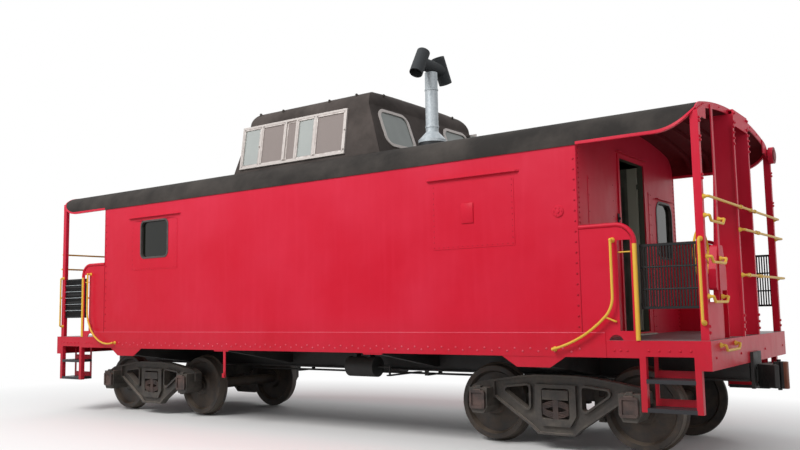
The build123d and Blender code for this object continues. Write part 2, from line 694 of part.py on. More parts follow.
def chimney_cowl():
    """Two short pipes leaning outwards, joined by a cross pipe on top of the chimney."""
    r = CHIMNEY_DIAMETER / 2
    top = RAIL + CHIMNEY_TOP
    cross_z = top + r
    cowl = Pos(CHIMNEY_X, CHIMNEY_Y, cross_z) * Rot(90, 0, 0) * Cylinder(r, COWL_SPAN)
    cowl += upright(CHIMNEY_X, CHIMNEY_Y, (top, cross_z), r)
    places = []
    for side in (-1, 1):
        place = Pos(CHIMNEY_X, CHIMNEY_Y + side * COWL_SPAN / 2, cross_z)
        places.append(place * Rot(side * COWL_LEAN, 0, 0))
    for place in places:
        cowl += place * Cylinder(r + COWL_SHEET, COWL_LENGTH)
    for place in places:
        cowl -= place * Cylinder(r - COWL_SHEET, COWL_LENGTH + 10)
    return cowl


# Platforms

POST_Y = 270
POST_PLATE = 16
POST_FLANGE = 30
POST_DEPTH_TOP = 205
POST_DEPTH_BOTTOM = 310
CORNER_POST_Y = 1405
CORNER_POST_WIDTH = 55
CORNER_POST_DEPTH = 75
CORNER_POST_TOP = EAVE_Z + 185
GUSSET_Y = 1150
GUSSET_LOW = EAVE_Z + 150
GUSSET_HIGH = EAVE_Z + 305
GUSSET_DROP = 130
HEADER_LOW = RIDGE_Z - 190
HEADER_HIGH = RIDGE_Z - 20
STILE_Y = 910
STILE_WIDTH = 60
STILE_TOP = RIDGE_Z - 90
KICK_TOP = RAIL + 1500
STEP_OPEN_TOP = RAIL + 1000
SILL_FOOT = 70
SILL_FOOT_START = 240
DOORSTEP_DEPTH = 90
DOORSTEP_HEIGHT = 14


def platform():
    """The front platform: deck, doorstep, side fascias open over the steps, and an end
    sill with a foot turned in on each side of the centre sill."""
    deck = block((BODY_END, SILL_END), (-HALF, HALF), (FLOOR_Z, DECK_Z))
    step = DOOR_WIDTH / 2
    tread = (BODY_END + JAMB_PROUD, BODY_END + DOORSTEP_DEPTH)
    deck += block(tread, (-step, step), (DECK_Z, DECK_Z + DOORSTEP_HEIGHT))
    points = [(BODY_END, FLOOR_Z), (BODY_END, SILL_Z), (STEP_START, SILL_Z)]
    points += [(STEP_START, STEP_OPEN_TOP), (STEP_END, STEP_OPEN_TOP), (STEP_END, END_SILL_Z)]
    points += [(SILL_END, END_SILL_Z), (SILL_END, FLOOR_Z)]
    fascia = along_y(face_of(points), (-HALF, -HALF + SHEET))
    sill = block((SILL_END - SHEET, SILL_END), (-HALF, HALF), (END_SILL_Z, FLOOR_Z))
    foot = (SILL_FOOT_START, HALF - SHEET)
    sill += block((SILL_END - SILL_FOOT, SILL_END - SHEET), foot, (END_SILL_Z, END_SILL_Z + SHEET))
    foot = (-foot[1], -foot[0])
    sill += block((SILL_END - SILL_FOOT, SILL_END - SHEET), foot, (END_SILL_Z, END_SILL_Z + SHEET))
    return deck + fascia + mirrored(fascia) + sill


def corner_post():
    """The far corner post and the gusset that ties it to the roof's end band."""
    outside = CORNER_POST_Y + CORNER_POST_WIDTH
    x = (END_POST_FACE - CORNER_POST_DEPTH, END_POST_FACE)
    post = block(x, (CORNER_POST_Y, outside), (DECK_Z, CORNER_POST_TOP))
    post -= roof_shell((BODY_END, ROOF_END), ROOF_TRIM_PROUD, -ROOF_TRIM_BAND) - sweep_cutter(0)
    points = [(outside, CORNER_POST_TOP - GUSSET_DROP), (outside, CORNER_POST_TOP), (GUSSET_Y, GUSSET_HIGH)]
    points += [(GUSSET_Y, GUSSET_LOW), (CORNER_POST_Y - GUSSET_DROP, GUSSET_LOW)]
    return post + along_x(face_of(points), (ROOF_END, ROOF_END + SHEET))


def collision_post():
    """The far one of two deep tapered plates beside the passage, with a flange in front."""
    high = RIDGE_Z
    points = [(SILL_END, DECK_Z), (SILL_END, high), (SILL_END - POST_DEPTH_TOP, high)]
    points += [(SILL_END - POST_DEPTH_BOTTOM, DECK_Z)]
    plate = along_y(face_of(points), (POST_Y, POST_Y + POST_PLATE))
    flange = (POST_Y + POST_PLATE, POST_Y + POST_PLATE + POST_FLANGE)
    plate += block((SILL_END - POST_PLATE, SILL_END), flange, (DECK_Z, HEADER_LOW))
    return plate & along_x(arch_face(-ROOF_TRIM_BAND, DECK_Z), (BODY_END, SILL_END))


def end_posts():
    """Corner posts, collision posts under one header, and the ladder stile with a kick
    panel between it and the near corner post."""
    outside = POST_Y + POST_PLATE
    header = block((SILL_END - SHEET, SILL_END), (-outside, outside), (HEADER_LOW, HEADER_HIGH))
    header += block((ROOF_END, SILL_END), (-outside, outside), (HEADER_HIGH - SHEET, HEADER_HIGH))
    x = (ROOF_END, ROOF_END + SHEET)
    stile = block(x, (-STILE_Y - STILE_WIDTH, -STILE_Y), (DECK_Z, STILE_TOP))
    stile += block(x, (-CORNER_POST_Y, -STILE_Y - STILE_WIDTH), (DECK_Z, KICK_TOP))
    far = corner_post()
    plate = collision_post()
    return far, mirrored(far) + stile, plate + header + mirrored(plate)


STRINGER = 60
HANGER = 40
TREAD_DEPTH = 230
TREAD_THICKNESS = 38
TREAD_BACK = 8
TREAD_BACK_HEIGHT = 70
TREADS = (RAIL + 790, RAIL + 525)


def steps():
    """One flight: two channels hung from the deck, two treads with upturned backs and
    a pair of flat hangers behind them."""
    y = (-HALF, -HALF + STRINGER)
    z = (RAIL + STEP_BOTTOM, STEP_OPEN_TOP)
    flight = None
    for x in (STEP_START, STEP_END - STRINGER):
        channel = block((x, x + STRINGER), y, z)
        hollow = (x + SHEET, x + STRINGER - SHEET)
        channel -= block(hollow, (y[0] + SHEET, y[1] + 1), (z[0] - 1, z[1] + 1))
        channel += block((x, x + STRINGER), (y[0] + 2 * SHEET, y[1]), (z[1] - SHEET, FLOOR_Z))
        flight = channel if flight is None else flight + channel
    x = (STEP_START + STRINGER, STEP_END - STRINGER)
    back = (y[0] + TREAD_DEPTH - TREAD_BACK, y[0] + TREAD_DEPTH)
    for top in TREADS:
        flight += block(x, (y[0], y[0] + TREAD_DEPTH), (top - TREAD_THICKNESS, top))
        flight += block(x, back, (top - TREAD_THICKNESS, top + TREAD_BACK_HEIGHT))
    for hanger in ((x[0], x[0] + HANGER), (x[1] - HANGER, x[1])):
        flight += block(hanger, back, (TREADS[1] - TREAD_THICKNESS, FLOOR_Z))
    return flight


WAIST_CORNER = 170
SCUPPER_RADIUS = 75
SCUPPER_DROP = 22
WAIST_RAIL_RADIUS = 22
WAIST_RAIL_BEND = 180
WAIST_RAIL_Y = -HALF + SHEET / 2
RAIL_SPLIT_Z = WAIST_Z - 170
NOTCH = (4290, 4422)
NOTCH_Z = (DECK_Z + 90, WAIST_Z - 130)


def waist_panel():
    """The waist-high plate beside the platform, with a tall notch next to its post and a
    half-moon scupper at the deck."""
    points = [(BODY_END, DECK_Z), (WAIST_END, DECK_Z), (WAIST_END, WAIST_Z), (BODY_END, WAIST_Z)]
    face = make_face(Polyline(*points, close=True))
    corner = face.vertices().sort_by(Axis.X)[-2:].sort_by(Axis.Y)[-1]
    plate = along_y(fillet(corner, WAIST_CORNER), (-HALF, -HALF + SHEET))
    plate -= block(NOTCH, (-HALF - WALL, -HALF + WALL), NOTCH_Z)
    scupper = Pos(NOTCH[0] - 2 * SCUPPER_DROP, -HALF, DECK_Z - SCUPPER_DROP) * Rot(90, 0, 0)
    return plate - scupper * Cylinder(SCUPPER_RADIUS, 2 * WALL)


def waist_cap():
    """The red pipe along the top of the waist panel, turned down at its post."""
    top = WAIST_Z + WAIST_RAIL_RADIUS
    post = WAIST_END + WAIST_RAIL_RADIUS
    path = [(BODY_END, WAIST_RAIL_Y, top), (post, WAIST_RAIL_Y, top), (post, WAIST_RAIL_Y, RAIL_SPLIT_Z)]
    return rod(path, WAIST_RAIL_RADIUS, WAIST_RAIL_BEND)


GATE_Z = (RAIL + 1443, RAIL + 2060)
GATE_X = (STEP_START + 20, END_POST_FACE - CORNER_POST_DEPTH)
GATE_RAIL = 24
GATE_BAR = 14
GATE_BARS = 20


def gate(rails):
    """A barred gate strapped across the near steps, with a number of level rails."""
    y = -CORNER_POST_Y - CORNER_POST_WIDTH / 2
    depth = (y - GATE_RAIL / 2, y + GATE_RAIL / 2)
    pitch = (GATE_Z[1] - GATE_Z[0] - GATE_RAIL) / (rails - 1)
    bars = block(GATE_X, depth, (GATE_Z[0], GATE_Z[0] + GATE_RAIL))
    for n in range(1, rails):
        z = GATE_Z[0] + pitch * n
        bars += block(GATE_X, depth, (z, z + GATE_RAIL))
    pitch = (GATE_X[1] - GATE_X[0] - GATE_BAR) / (GATE_BARS - 1)
    for n in range(GATE_BARS):
        x = GATE_X[0] + pitch * n
        bars += block((x, x + GATE_BAR), (y - GATE_BAR / 2, y + GATE_BAR / 2), GATE_Z)
    return bars


GRAB_RADIUS = 13
GRAB_STANDOFF = 50
GRAB_BEND = 20
SIDE_GRAB_STANDOFF = 60
GRAB_BALL = 17
SIDE_GRAB_TOP = (4248, WAIST_Z - 126)
SIDE_GRAB_STRAIGHT = (4248, RAIL + 1575)
SIDE_GRAB_KNEES = {"front": (4165, RAIL + 1375), "rear": (4095, RAIL + 1205)}
SIDE_GRAB_FOOT = (3605, RAIL + 1062)
SIDE_GRAB_STAY = (4255, RAIL + 1330)
STAY_RADIUS = 9
POST_GRAB_Z = (RAIL + 1310, RAIL + 2080)
SILL_GRAB_Y = (-1216, -706)
SILL_GRAB_Z = RAIL + 1050
RUNG_HEIGHTS = (2245, 1865, 1500)
RUNG_DROP = 50
END_RAIL_HEIGHT = 2470
PASSAGE_RAIL_HEIGHTS = (2235, 1770)


def side_grab(knee):
    """The long curved handhold on the near side, from the waist down past its knee to
    the body, with a ball at each end and a stay to the waist panel."""
    y = -HALF - SIDE_GRAB_STANDOFF
    marks = [(x, y, z) for x, z in (SIDE_GRAB_TOP, SIDE_GRAB_STRAIGHT, knee, SIDE_GRAB_FOOT)]
    bend = TangentArc(marks[1], marks[2], tangent=(0, 0, -1))
    path = Wire([Line(marks[0], marks[1]), bend, TangentArc(marks[2], marks[3], tangent=bend % 1)])
    bar = sweep(Plane(origin=marks[0], z_dir=(0, 0, -1)) * Circle(GRAB_RADIUS), path=path)
    for end, face in ((marks[0], -HALF), (marks[3], -HALF - BAND_PROUD)):
        bar += Pos(*end) * Sphere(GRAB_BALL)
        bar += rod([(end[0], face, end[2]), end], GRAB_RADIUS, 0)
    stay_x, stay_z = SIDE_GRAB_STAY
    stay = [marks[2], (stay_x, -HALF - GRAB_BEND, stay_z), (stay_x, -HALF, stay_z)]
    return bar + rod(stay, STAY_RADIUS, STAY_RADIUS)


def post_grab():
    """The upright handhold on the near face of the near corner post."""
    face = -CORNER_POST_Y - CORNER_POST_WIDTH
    x = END_POST_FACE - CORNER_POST_DEPTH / 2
    y = face - GRAB_STANDOFF
    z = POST_GRAB_Z
    return rod([(x, face, z[0]), (x, y, z[0]), (x, y, z[1]), (x, face, z[1])], GRAB_RADIUS, GRAB_BEND)


def dropped_grab(x, y, z):
    """A handhold across the end, dropped below its two feet, from one face to another."""
    out = max(x) + GRAB_STANDOFF
    high = z + RUNG_DROP
    points = [(x[0], y[0], high), (out, y[0], high), (out, y[0] + RUNG_DROP, z)]
    points += [(out, y[1] - RUNG_DROP, z), (out, y[1], high), (x[1], y[1], high)]
    return rod(points, GRAB_RADIUS, GRAB_BEND / 2)


def end_rail(x, y, z):
    """A level rail across the end between two faces."""
    out = max(x) + GRAB_STANDOFF
    points = [(x[0], y[0], z), (out, y[0], z), (out, y[1], z), (x[1], y[1], z)]
    return rod(points, GRAB_RADIUS, GRAB_BEND)


def handrails(knee):
    """All of one end's yellow handholds, with the knee of its two side handholds."""
    waist_post = WAIST_END + WAIST_RAIL_RADIUS
    down = [(waist_post, WAIST_RAIL_Y, z) for z in (RAIL_SPLIT_Z, DECK_Z)]
    down = rod(down, WAIST_RAIL_RADIUS, 0)
    pieces = []
    for piece in (down, side_grab(knee), post_grab()):
        pieces += [piece, mirrored(piece)]
    post = CORNER_POST_Y + CORNER_POST_WIDTH / 2
    stile = (ROOF_END + SHEET, -STILE_Y - STILE_WIDTH / 2)
    for height in RUNG_HEIGHTS:
        pieces.append(dropped_grab((END_POST_FACE, stile[0]), (-post, stile[1]), RAIL + height))
    pieces.append(end_rail((END_POST_FACE, END_POST_FACE), (-post, post), RAIL + END_RAIL_HEIGHT))
    passage = -POST_Y - POST_PLATE - POST_FLANGE / 2
    for height in PASSAGE_RAIL_HEIGHTS:
        pieces.append(end_rail((SILL_END, END_POST_FACE), (passage, post), RAIL + height))
    pieces.append(dropped_grab((SILL_END, SILL_END), SILL_GRAB_Y, SILL_GRAB_Z))
    return pieces


HAND_WHEEL_RADIUS = 255
HAND_WHEEL_RIM = 12
HAND_WHEEL_X = 4900
HAND_WHEEL_Z = RAIL + 1970
HAND_WHEEL_SPOKES = 5
SPOKE_WIDTH = 22
SPOKE_DEPTH = 10
GEAR_CASE_X = 5010
GEAR_CASE_Z = (RAIL + 1613, RAIL + 2050)
GEAR_CASE_SHOULDER = 200
GEAR_CASE_RADIUS = 30
GEAR_CASE_TOP_WIDTH = 180
BRAKE_Y = (-1050, -690)
CHAIN_GUARD_X = 5030
CHAIN_GUARD_LIP = 8
CHAIN_GUARD_INSET = 60


def hand_brake():
    """The hand brake beside the passage: a spoked wheel on a shaft, its gear case and
    the open chain guard below it down to the deck."""
    y = (BRAKE_Y[0] + BRAKE_Y[1]) / 2
    place = Pos(HAND_WHEEL_X, y, HAND_WHEEL_Z) * Rot(0, 90, 0)
    wheel = place * Torus(HAND_WHEEL_RADIUS - HAND_WHEEL_RIM, HAND_WHEEL_RIM)
    spoke = Box(HAND_WHEEL_RADIUS - 2 * HAND_WHEEL_RIM, SPOKE_WIDTH, SPOKE_DEPTH)
    spoke = Pos(HAND_WHEEL_RADIUS / 2, 0, 0) * spoke
    for n in range(HAND_WHEEL_SPOKES):
        wheel += place * Rot(0, 0, 360 / HAND_WHEEL_SPOKES * n) * spoke
    hub = Pos(y, HAND_WHEEL_Z) * Circle(2 * HAND_WHEEL_RIM)
    wheel += along_x(hub, (HAND_WHEEL_X - 2 * SPOKE_DEPTH, GEAR_CASE_X))
    low, high = GEAR_CASE_Z
    shoulder = low + GEAR_CASE_SHOULDER
    top = GEAR_CASE_TOP_WIDTH / 2
    points = [(y - top, high), (y + top, high), (BRAKE_Y[1], shoulder), (BRAKE_Y[1], low)]
    points += [(BRAKE_Y[0], low), (BRAKE_Y[0], shoulder)]
    gear = along_x(face_of(points, GEAR_CASE_RADIUS), (GEAR_CASE_X, ROOF_END))
    sides = (BRAKE_Y[0] + CHAIN_GUARD_INSET, BRAKE_Y[1])
    guard = block((CHAIN_GUARD_X, ROOF_END), sides, (DECK_Z, low))
    inside = (sides[0] + CHAIN_GUARD_LIP, sides[1] - CHAIN_GUARD_LIP)
    guard -= block((CHAIN_GUARD_X + CHAIN_GUARD_LIP, ROOF_END + 1), inside, (DECK_Z - 1, low + 1))
    return wheel, gear + guard


# Couplers and brake

COUPLER_SHANK = 130
COUPLER_HEAD_START = SILL_END + 45
COUPLER_HEAD_HEIGHT = 230
KNUCKLE_HEIGHT = 270
KNUCKLE_PIN_RADIUS = 21
STRIKER_WIDTH = 330
STRIKER_THICKNESS = 32
STRIKER_Z = (COUPLER_Z - 130, COUPLER_Z + 240)
STRIKER_CLEARANCE = 15


def coupler():
    """A knuckle coupler on its shank, seen from above a hook beside a guard arm, and the
    striking casting that its shank passes through."""
    tip = SILL_END + COUPLER_REACH
    half = COUPLER_SHANK / 2
    start = COUPLER_HEAD_START
    z = (COUPLER_Z - half, COUPLER_Z + half)
    shank = block((SILL_END - 380, start + 20), (-half, half), z)
    # the guard arm on the left of the throat, then the side that carries the hook
    body = [(start, -half), (start + 60, -105), (tip - 75, -205), (tip - 35, -185)]
    body += [(tip - 60, -140), (tip - 125, -75), (tip - 140, 40), (tip - 95, 150)]
    body += [(start + 50, 130), (start, half)]
    z = (COUPLER_Z - COUPLER_HEAD_HEIGHT / 2, COUPLER_Z + COUPLER_HEAD_HEIGHT / 2)
    head = shank + along_z(face_of(body, 10), z)
    hook = [(tip - 139, 40), (tip - 80, 45), (tip - 62, 8), (tip - 10, 8), (tip, 20), (tip, 85)]
    hook += [(tip - 25, 130), (tip - 94, 150)]
    z = (COUPLER_Z - KNUCKLE_HEIGHT / 2, COUPLER_Z + KNUCKLE_HEIGHT / 2)
    head += along_z(face_of(hook, 5), z)
    pin = (z[0] - KNUCKLE_PIN_RADIUS, z[1] + KNUCKLE_PIN_RADIUS)
    head += upright(tip - 95, 95, pin, KNUCKLE_PIN_RADIUS)
    width = (-STRIKER_WIDTH / 2, STRIKER_WIDTH / 2)
    striker = block((SILL_END, SILL_END + STRIKER_THICKNESS), width, STRIKER_Z)
    opening = half + STRIKER_CLEARANCE
    through = (SILL_END - 1, SILL_END + STRIKER_THICKNESS + 1)
    striker -= block(through, (-opening, opening), (COUPLER_Z - opening, COUPLER_Z + opening))
    return head, striker


HUNG_Z = RAIL + 760
STRAP_WIDTH = 50
RESERVOIR = (-300, 700)
RESERVOIR_RADIUS = 190
RESERVOIR_LENGTH = 900
BRAKE_CYLINDER = (480, -650)
BRAKE_CYLINDER_RADIUS = 130
BRAKE_CYLINDER_LENGTH = 450
PUSH_ROD_LENGTH = 200
PULL_ROD_RADIUS = 14
PULL_ROD_Z = RAIL + 640
PULL_ROD_END = 2250
PULL_ROD_GUIDE = 60
LEVER_THICKNESS = 16
LEVER_WIDTH = 60


def hung_tank(place, radius, length):
    """A tank lying along the car, hung from the floor by two straps."""
    x, y = place
    tank = Pos(x, y, HUNG_Z) * Rot(0, 90, 0) * Cylinder(radius, length)
    for middle in (x - length / 4, x + length / 4):
        strap = (middle - STRAP_WIDTH / 2, middle + STRAP_WIDTH / 2)
        tank += block(strap, (y - STRAP_WIDTH, y + STRAP_WIDTH), (HUNG_Z, FLOOR_Z))
    return tank


def air_brake():
    """The air reservoir, and the brake cylinder with its lever and the pull rod that
    runs in two guides towards the trucks."""
    rigging = Pos(0, 0, PULL_ROD_Z) * Rot(0, 90, 0) * Cylinder(PULL_ROD_RADIUS, 2 * PULL_ROD_END)
    half = CENTRE_SILL_WIDTH / 2
    for middle in (-PULL_ROD_END / 2, PULL_ROD_END / 2):
        x = (middle - PULL_ROD_GUIDE / 2, middle + PULL_ROD_GUIDE / 2)
        rigging += block(x, (-half, half), (PULL_ROD_Z - LEVER_THICKNESS, PULL_ROD_Z))
        for y in (-half + SHEET / 2, half - SHEET / 2):
            post = (y - SHEET / 2, y + SHEET / 2)
            rigging += block(x, post, (PULL_ROD_Z - LEVER_THICKNESS, CENTRE_SILL_BOTTOM))
    x, y = BRAKE_CYLINDER
    start = x + BRAKE_CYLINDER_LENGTH / 2
    push = Pos(start + PUSH_ROD_LENGTH / 2, y, HUNG_Z) * Rot(0, 90, 0)
    rigging += push * Cylinder(PULL_ROD_RADIUS, PUSH_ROD_LENGTH)
    end = start + PUSH_ROD_LENGTH - PULL_ROD_RADIUS
    low = PULL_ROD_Z + PULL_ROD_RADIUS / 2
    rigging += upright(end, y, (low, HUNG_Z + PULL_ROD_RADIUS), PULL_ROD_RADIUS)
    lever = (end - LEVER_WIDTH / 2, end + LEVER_WIDTH / 2)
    rigging += block(lever, (y - LEVER_WIDTH / 2, LEVER_WIDTH / 2), (low, low + LEVER_THICKNESS))
    rigging += hung_tank(BRAKE_CYLINDER, BRAKE_CYLINDER_RADIUS, BRAKE_CYLINDER_LENGTH)
    return hung_tank(RESERVOIR, RESERVOIR_RADIUS, RESERVOIR_LENGTH), rigging


LAMP_Z = EAVE_Z + 145
LAMP_RADIUS = 100
LAMP_DEPTH = 55
LENS_RADIUS = 70
LENS_DEPTH = 8


def marker_lamp():
    """A flat round marker lamp on the far corner post of the front end."""
    case = Pos(END_POST_FACE, CORNER_POST_Y, LAMP_Z) * Rot(0, 90, 0)
    seat = (Align.CENTER, Align.CENTER, Align.MIN)
    lens = case * Pos(0, 0, LAMP_DEPTH) * Cylinder(LENS_RADIUS, LENS_DEPTH, align=seat)
    return case * Cylinder(LAMP_RADIUS, LAMP_DEPTH, align=seat) + lens


# Trucks

FRAME_TOP = 760
FRAME_ENDS = 665
FRAME_RIM = 22
FRAME_POCKET = 38
FRAME_SEAT = 134
FRAME_WINDOW = (300, 620)
FRAME_WINDOW_WIDTH = 320
FRAME_WINDOW_RADIUS = 30
BOX_REACH = 190
BOX_BACK = 90
BOX_TOP = 610
BOX_LOW = 335
BOX_WALL = 60
BOX_TAPER = (45, 75)
LUG_LENGTH = 70
LUG_DEPTH = 40
LUG_HEIGHT = 22
BORE_CLEARANCE = 6
BOLSTER_TOP = CENTRE_PLATE_Z - 1
SPRING_TOP = 500


def side_frame():
    """The cast side frame on the near side, about the truck's centre: an arched top
    member and a sloping bottom one with raised rims, two triangular openings, a window
    for the springs and a journal box at each end."""
    half_base = WHEELBASE / 2
    end = half_base + BOX_WIDTH / 2 + 35
    inner = half_base - BOX_WIDTH / 2 - 20
    # the half outline in X and height above the rail, from the seat up and over
    under = [(210, FRAME_SEAT), (290, FRAME_SEAT + 75), (inner, SPRING_TOP), (end, SPRING_TOP)]
    upper = [(end, FRAME_ENDS - 45), (end - 90, FRAME_ENDS), (420, FRAME_TOP - 15), (220, FRAME_TOP)]
    half = [(x, RAIL + z) for x, z in under + upper]
    outline = face_of(half + [(-x, z) for x, z in reversed(half)], 18)
    triangle = [(650, RAIL + 605), (305, RAIL + 645), (305, RAIL + 372)]
    left = [(-x, z) for x, z in triangle]
    low = RAIL + FRAME_WINDOW[0]
    height = FRAME_WINDOW[1] - FRAME_WINDOW[0]
    window = window_face(0, low, FRAME_WINDOW_WIDTH, height, FRAME_WINDOW_RADIUS)
    # the raised guide around the spring window, narrower below
    guide = [(235, 660), (235, 340), (165, 225)]
    guide = [(x, RAIL + z) for x, z in guide + [(-x, z) for x, z in reversed(guide)]]
    pocket = offset(outline, -FRAME_RIM) - face_of(guide, 12)
    solid = outline - window
    for hole in (face_of(triangle, 30), face_of(left, 30)):
        solid -= hole
        pocket -= offset(hole, FRAME_RIM)
    for x in (-half_base, half_base):
        pocket -= Pos(x, RAIL + BOX_LOW) * Rectangle(BOX_WIDTH + 2 * FRAME_RIM, 4 * BOX_WIDTH)
    y = (-SIDE_FRAME_Y - SIDE_FRAME_THICKNESS / 2, -SIDE_FRAME_Y + SIDE_FRAME_THICKNESS / 2)
    frame = along_y(solid, y)
    frame -= along_y(pocket, (y[0] - 1, y[0] + FRAME_POCKET))
    frame -= along_y(pocket, (y[1] - FRAME_POCKET, y[1] + 1))
    for x in (-half_base, half_base):
        frame += journal_box(x)
        bore = Pos(x, -SIDE_FRAME_Y, AXLE_Z) * Rot(90, 0, 0)
        bore = bore * Cylinder(JOURNAL_DIAMETER / 2 + BORE_CLEARANCE, 4 * BOX_REACH)
        behind_lid = (BOX_WALL - BOX_REACH - SIDE_FRAME_Y, 0)
        frame -= bore & block((x - BOX_WIDTH, x + BOX_WIDTH), behind_lid, (0, 2 * AXLE_Z))
    return frame


def journal_box(x):
    """One journal box, narrowed at its foot, with a lug for its lid's hinge on top."""
    half = BOX_WIDTH / 2
    low = RAIL + BOX_LOW
    top = RAIL + BOX_TOP
    waist = low + BOX_TAPER[1]
    foot = half - BOX_TAPER[0]
    points = [(x - half, top), (x + half, top), (x + half, waist), (x + foot, low)]
    points += [(x - foot, low), (x - half, waist)]
    front = -SIDE_FRAME_Y - BOX_REACH
    box = along_y(face_of(points), (front, -SIDE_FRAME_Y + BOX_BACK))
    lug = (x - LUG_LENGTH / 2, x + LUG_LENGTH / 2)
    return box + block(lug, (front, front + LUG_DEPTH), (top, top + LUG_HEIGHT))


LID_WIDTH = 190
LID_HEIGHT = 200
LID_THICKNESS = 30
LID_RIM = 14
LID_LIFT = 48
LID_RADIUS = 30


def journal_lids():
    """A dished lid with a hinge barrel on each journal box of both side frames."""
    lids = []
    front = -SIDE_FRAME_Y - BOX_REACH
    low = RAIL + BOX_LOW + LID_LIFT
    for x in (-WHEELBASE / 2, WHEELBASE / 2):
        outline = window_face(x, low, LID_WIDTH, LID_HEIGHT, LID_RADIUS)
        lid = along_y(outline, (front - LID_THICKNESS, front))
        dish = offset(outline, -2 * LID_RIM)
        lid -= along_y(dish, (front - LID_THICKNESS - 1, front - LID_THICKNESS / 2))
        barrel = Pos(x, front - LID_RIM, low + LID_HEIGHT) * Rot(0, 90, 0)
        lid += barrel * Cylinder(LID_RIM, LID_WIDTH / 2)
        lids += [lid, mirrored(lid)]
    return lids


BOLSTER_REACH = SIDE_FRAME_Y + 60
BOLSTER_SEAT = SIDE_FRAME_Y - 80
BOLSTER_MIDDLE = 300
BOLSTER_END_DEPTH = 100
BOLSTER_DROP = 80
BOLSTER_HALF = 150
BOWL_RADIUS = 190
BOWL_DEPTH = 20


def truck_bolster():
    """The member across the truck that carries the body on its centre plate."""
    low = RAIL + SPRING_TOP
    tip = BOLSTER_REACH
    seat = BOLSTER_SEAT
    middle = BOLSTER_MIDDLE
    top = BOLSTER_TOP - BOWL_DEPTH
    points = [(-tip, low), (-seat, low), (-middle, low - BOLSTER_DROP), (middle, low - BOLSTER_DROP)]
    points += [(seat, low), (tip, low), (tip, low + BOLSTER_END_DEPTH), (middle, top)]
    points += [(-middle, top), (-tip, low + BOLSTER_END_DEPTH)]
    bolster = along_x(face_of(points), (-BOLSTER_HALF, BOLSTER_HALF))
    return bolster + upright(0, 0, (top, BOLSTER_TOP), BOWL_RADIUS)


SPRING_LEAVES = 4
SPRING_WIDTH = 100
SPRING_CLAMP = 60
LEAF_SPAN = 300
LEAF_SAG = 40
LEAF_PITCH = 17
LEAF_THICKNESS = 12
LEAF_LIFT = 8


def leaf_arc(top, sag):
    """One leaf in X and Z, a bent strip whose middle is at a height and whose ends are
    lower by the sag."""
    half = LEAF_SPAN / 2
    low = top - LEAF_THICKNESS
    upper = ThreePointArc((-half, top - sag), (0, top), (half, top - sag))
    lower = ThreePointArc((half, low - sag), (0, low), (-half, low - sag))
    right = Polyline((half, top - sag), (half, low - sag))
    return make_face([upper, right, lower, Polyline((-half, low - sag), (-half, top - sag))])


def springs():
    """A full elliptic spring in each side frame's window: leaves bent down over leaves
    bent up, clamped at the middle, between the bolster and the frame's seat."""
    y = (-SIDE_FRAME_Y - SPRING_WIDTH / 2, -SIDE_FRAME_Y + SPRING_WIDTH / 2)
    top = RAIL + SPRING_TOP
    seat = RAIL + FRAME_WINDOW[0]
    stack = block((-SPRING_CLAMP / 2, SPRING_CLAMP / 2), y, (seat, top))
    for n in range(SPRING_LEAVES):
        stack += along_y(leaf_arc(top - LEAF_LIFT - LEAF_PITCH * n, LEAF_SAG), y)
        stack += along_y(leaf_arc(seat + LEAF_LIFT + LEAF_PITCH * n + LEAF_THICKNESS, -LEAF_SAG), y)
    return stack, mirrored(stack)


RIM_DEPTH = 65
HUB_RADIUS = 130
HUB_PROUD = 15
WEB_HALF = 20
WEB_BLEND = 25
FLANGE_WIDTH = 34
FLANGE_TIP = 12
TREAD_FALL = 6
TREAD_EDGE = 8
COLLAR = 20
AXLE_END = SIDE_FRAME_Y + 120


def wheelset():
    """Two flanged wheels pressed on an axle, about the axle's middle."""
    axle = AXLE_DIAMETER / 2
    journal = JOURNAL_DIAMETER / 2
    inner = BACK_TO_BACK / 2
    outer = inner + RIM_WIDTH
    rim = TREAD_RADIUS - RIM_DEPTH
    web = (inner + outer) / 2
    tread = inner + FLANGE_WIDTH
    blend = HUB_RADIUS + WEB_BLEND
    edge = TREAD_RADIUS - TREAD_FALL
    # radius and distance along the axle, from the hub's back over the flange to its front
    wheel = [(0, inner - HUB_PROUD), (HUB_RADIUS, inner - HUB_PROUD)]
    wheel += [(blend, web - WEB_HALF - WEB_BLEND / 2), (rim - WEB_BLEND, web - WEB_HALF), (rim, inner)]
    wheel += [(FLANGE_RADIUS - FLANGE_TIP, inner), (FLANGE_RADIUS, inner + FLANGE_TIP)]
    wheel += [(FLANGE_RADIUS - FLANGE_TIP, tread - TREAD_EDGE), (TREAD_RADIUS, tread)]
    wheel += [(edge, outer - TREAD_EDGE), (edge - TREAD_EDGE, outer), (rim, outer)]
    wheel += [(rim - WEB_BLEND, web + WEB_HALF), (blend, web + WEB_HALF + WEB_BLEND / 2)]
    wheel += [(HUB_RADIUS, outer - HUB_PROUD), (0, outer - HUB_PROUD)]
    bar = [(0, 0), (axle, 0), (axle, outer + COLLAR), (journal, outer + COLLAR)]
    bar += [(journal, AXLE_END), (0, AXLE_END)]
    half = revolve(Plane.XY * face_of(wheel), Axis.Y)
    half += revolve(Plane.XY * face_of(bar), Axis.Y)
    return half + mirrored(half)


BEAM_X = 330
BEAM_WIDTH = 55
BEAM_DEPTH = 60
SHOE_Y = (725, 805)
SHOE_Z = (AXLE_Z - 150, AXLE_Z + 110)
SHOE_GAP = 8
SHOE_DEPTH = 80
HANGER_Z = RAIL + 660
HANGER_BAR = 20
HANGER_ARM = 40


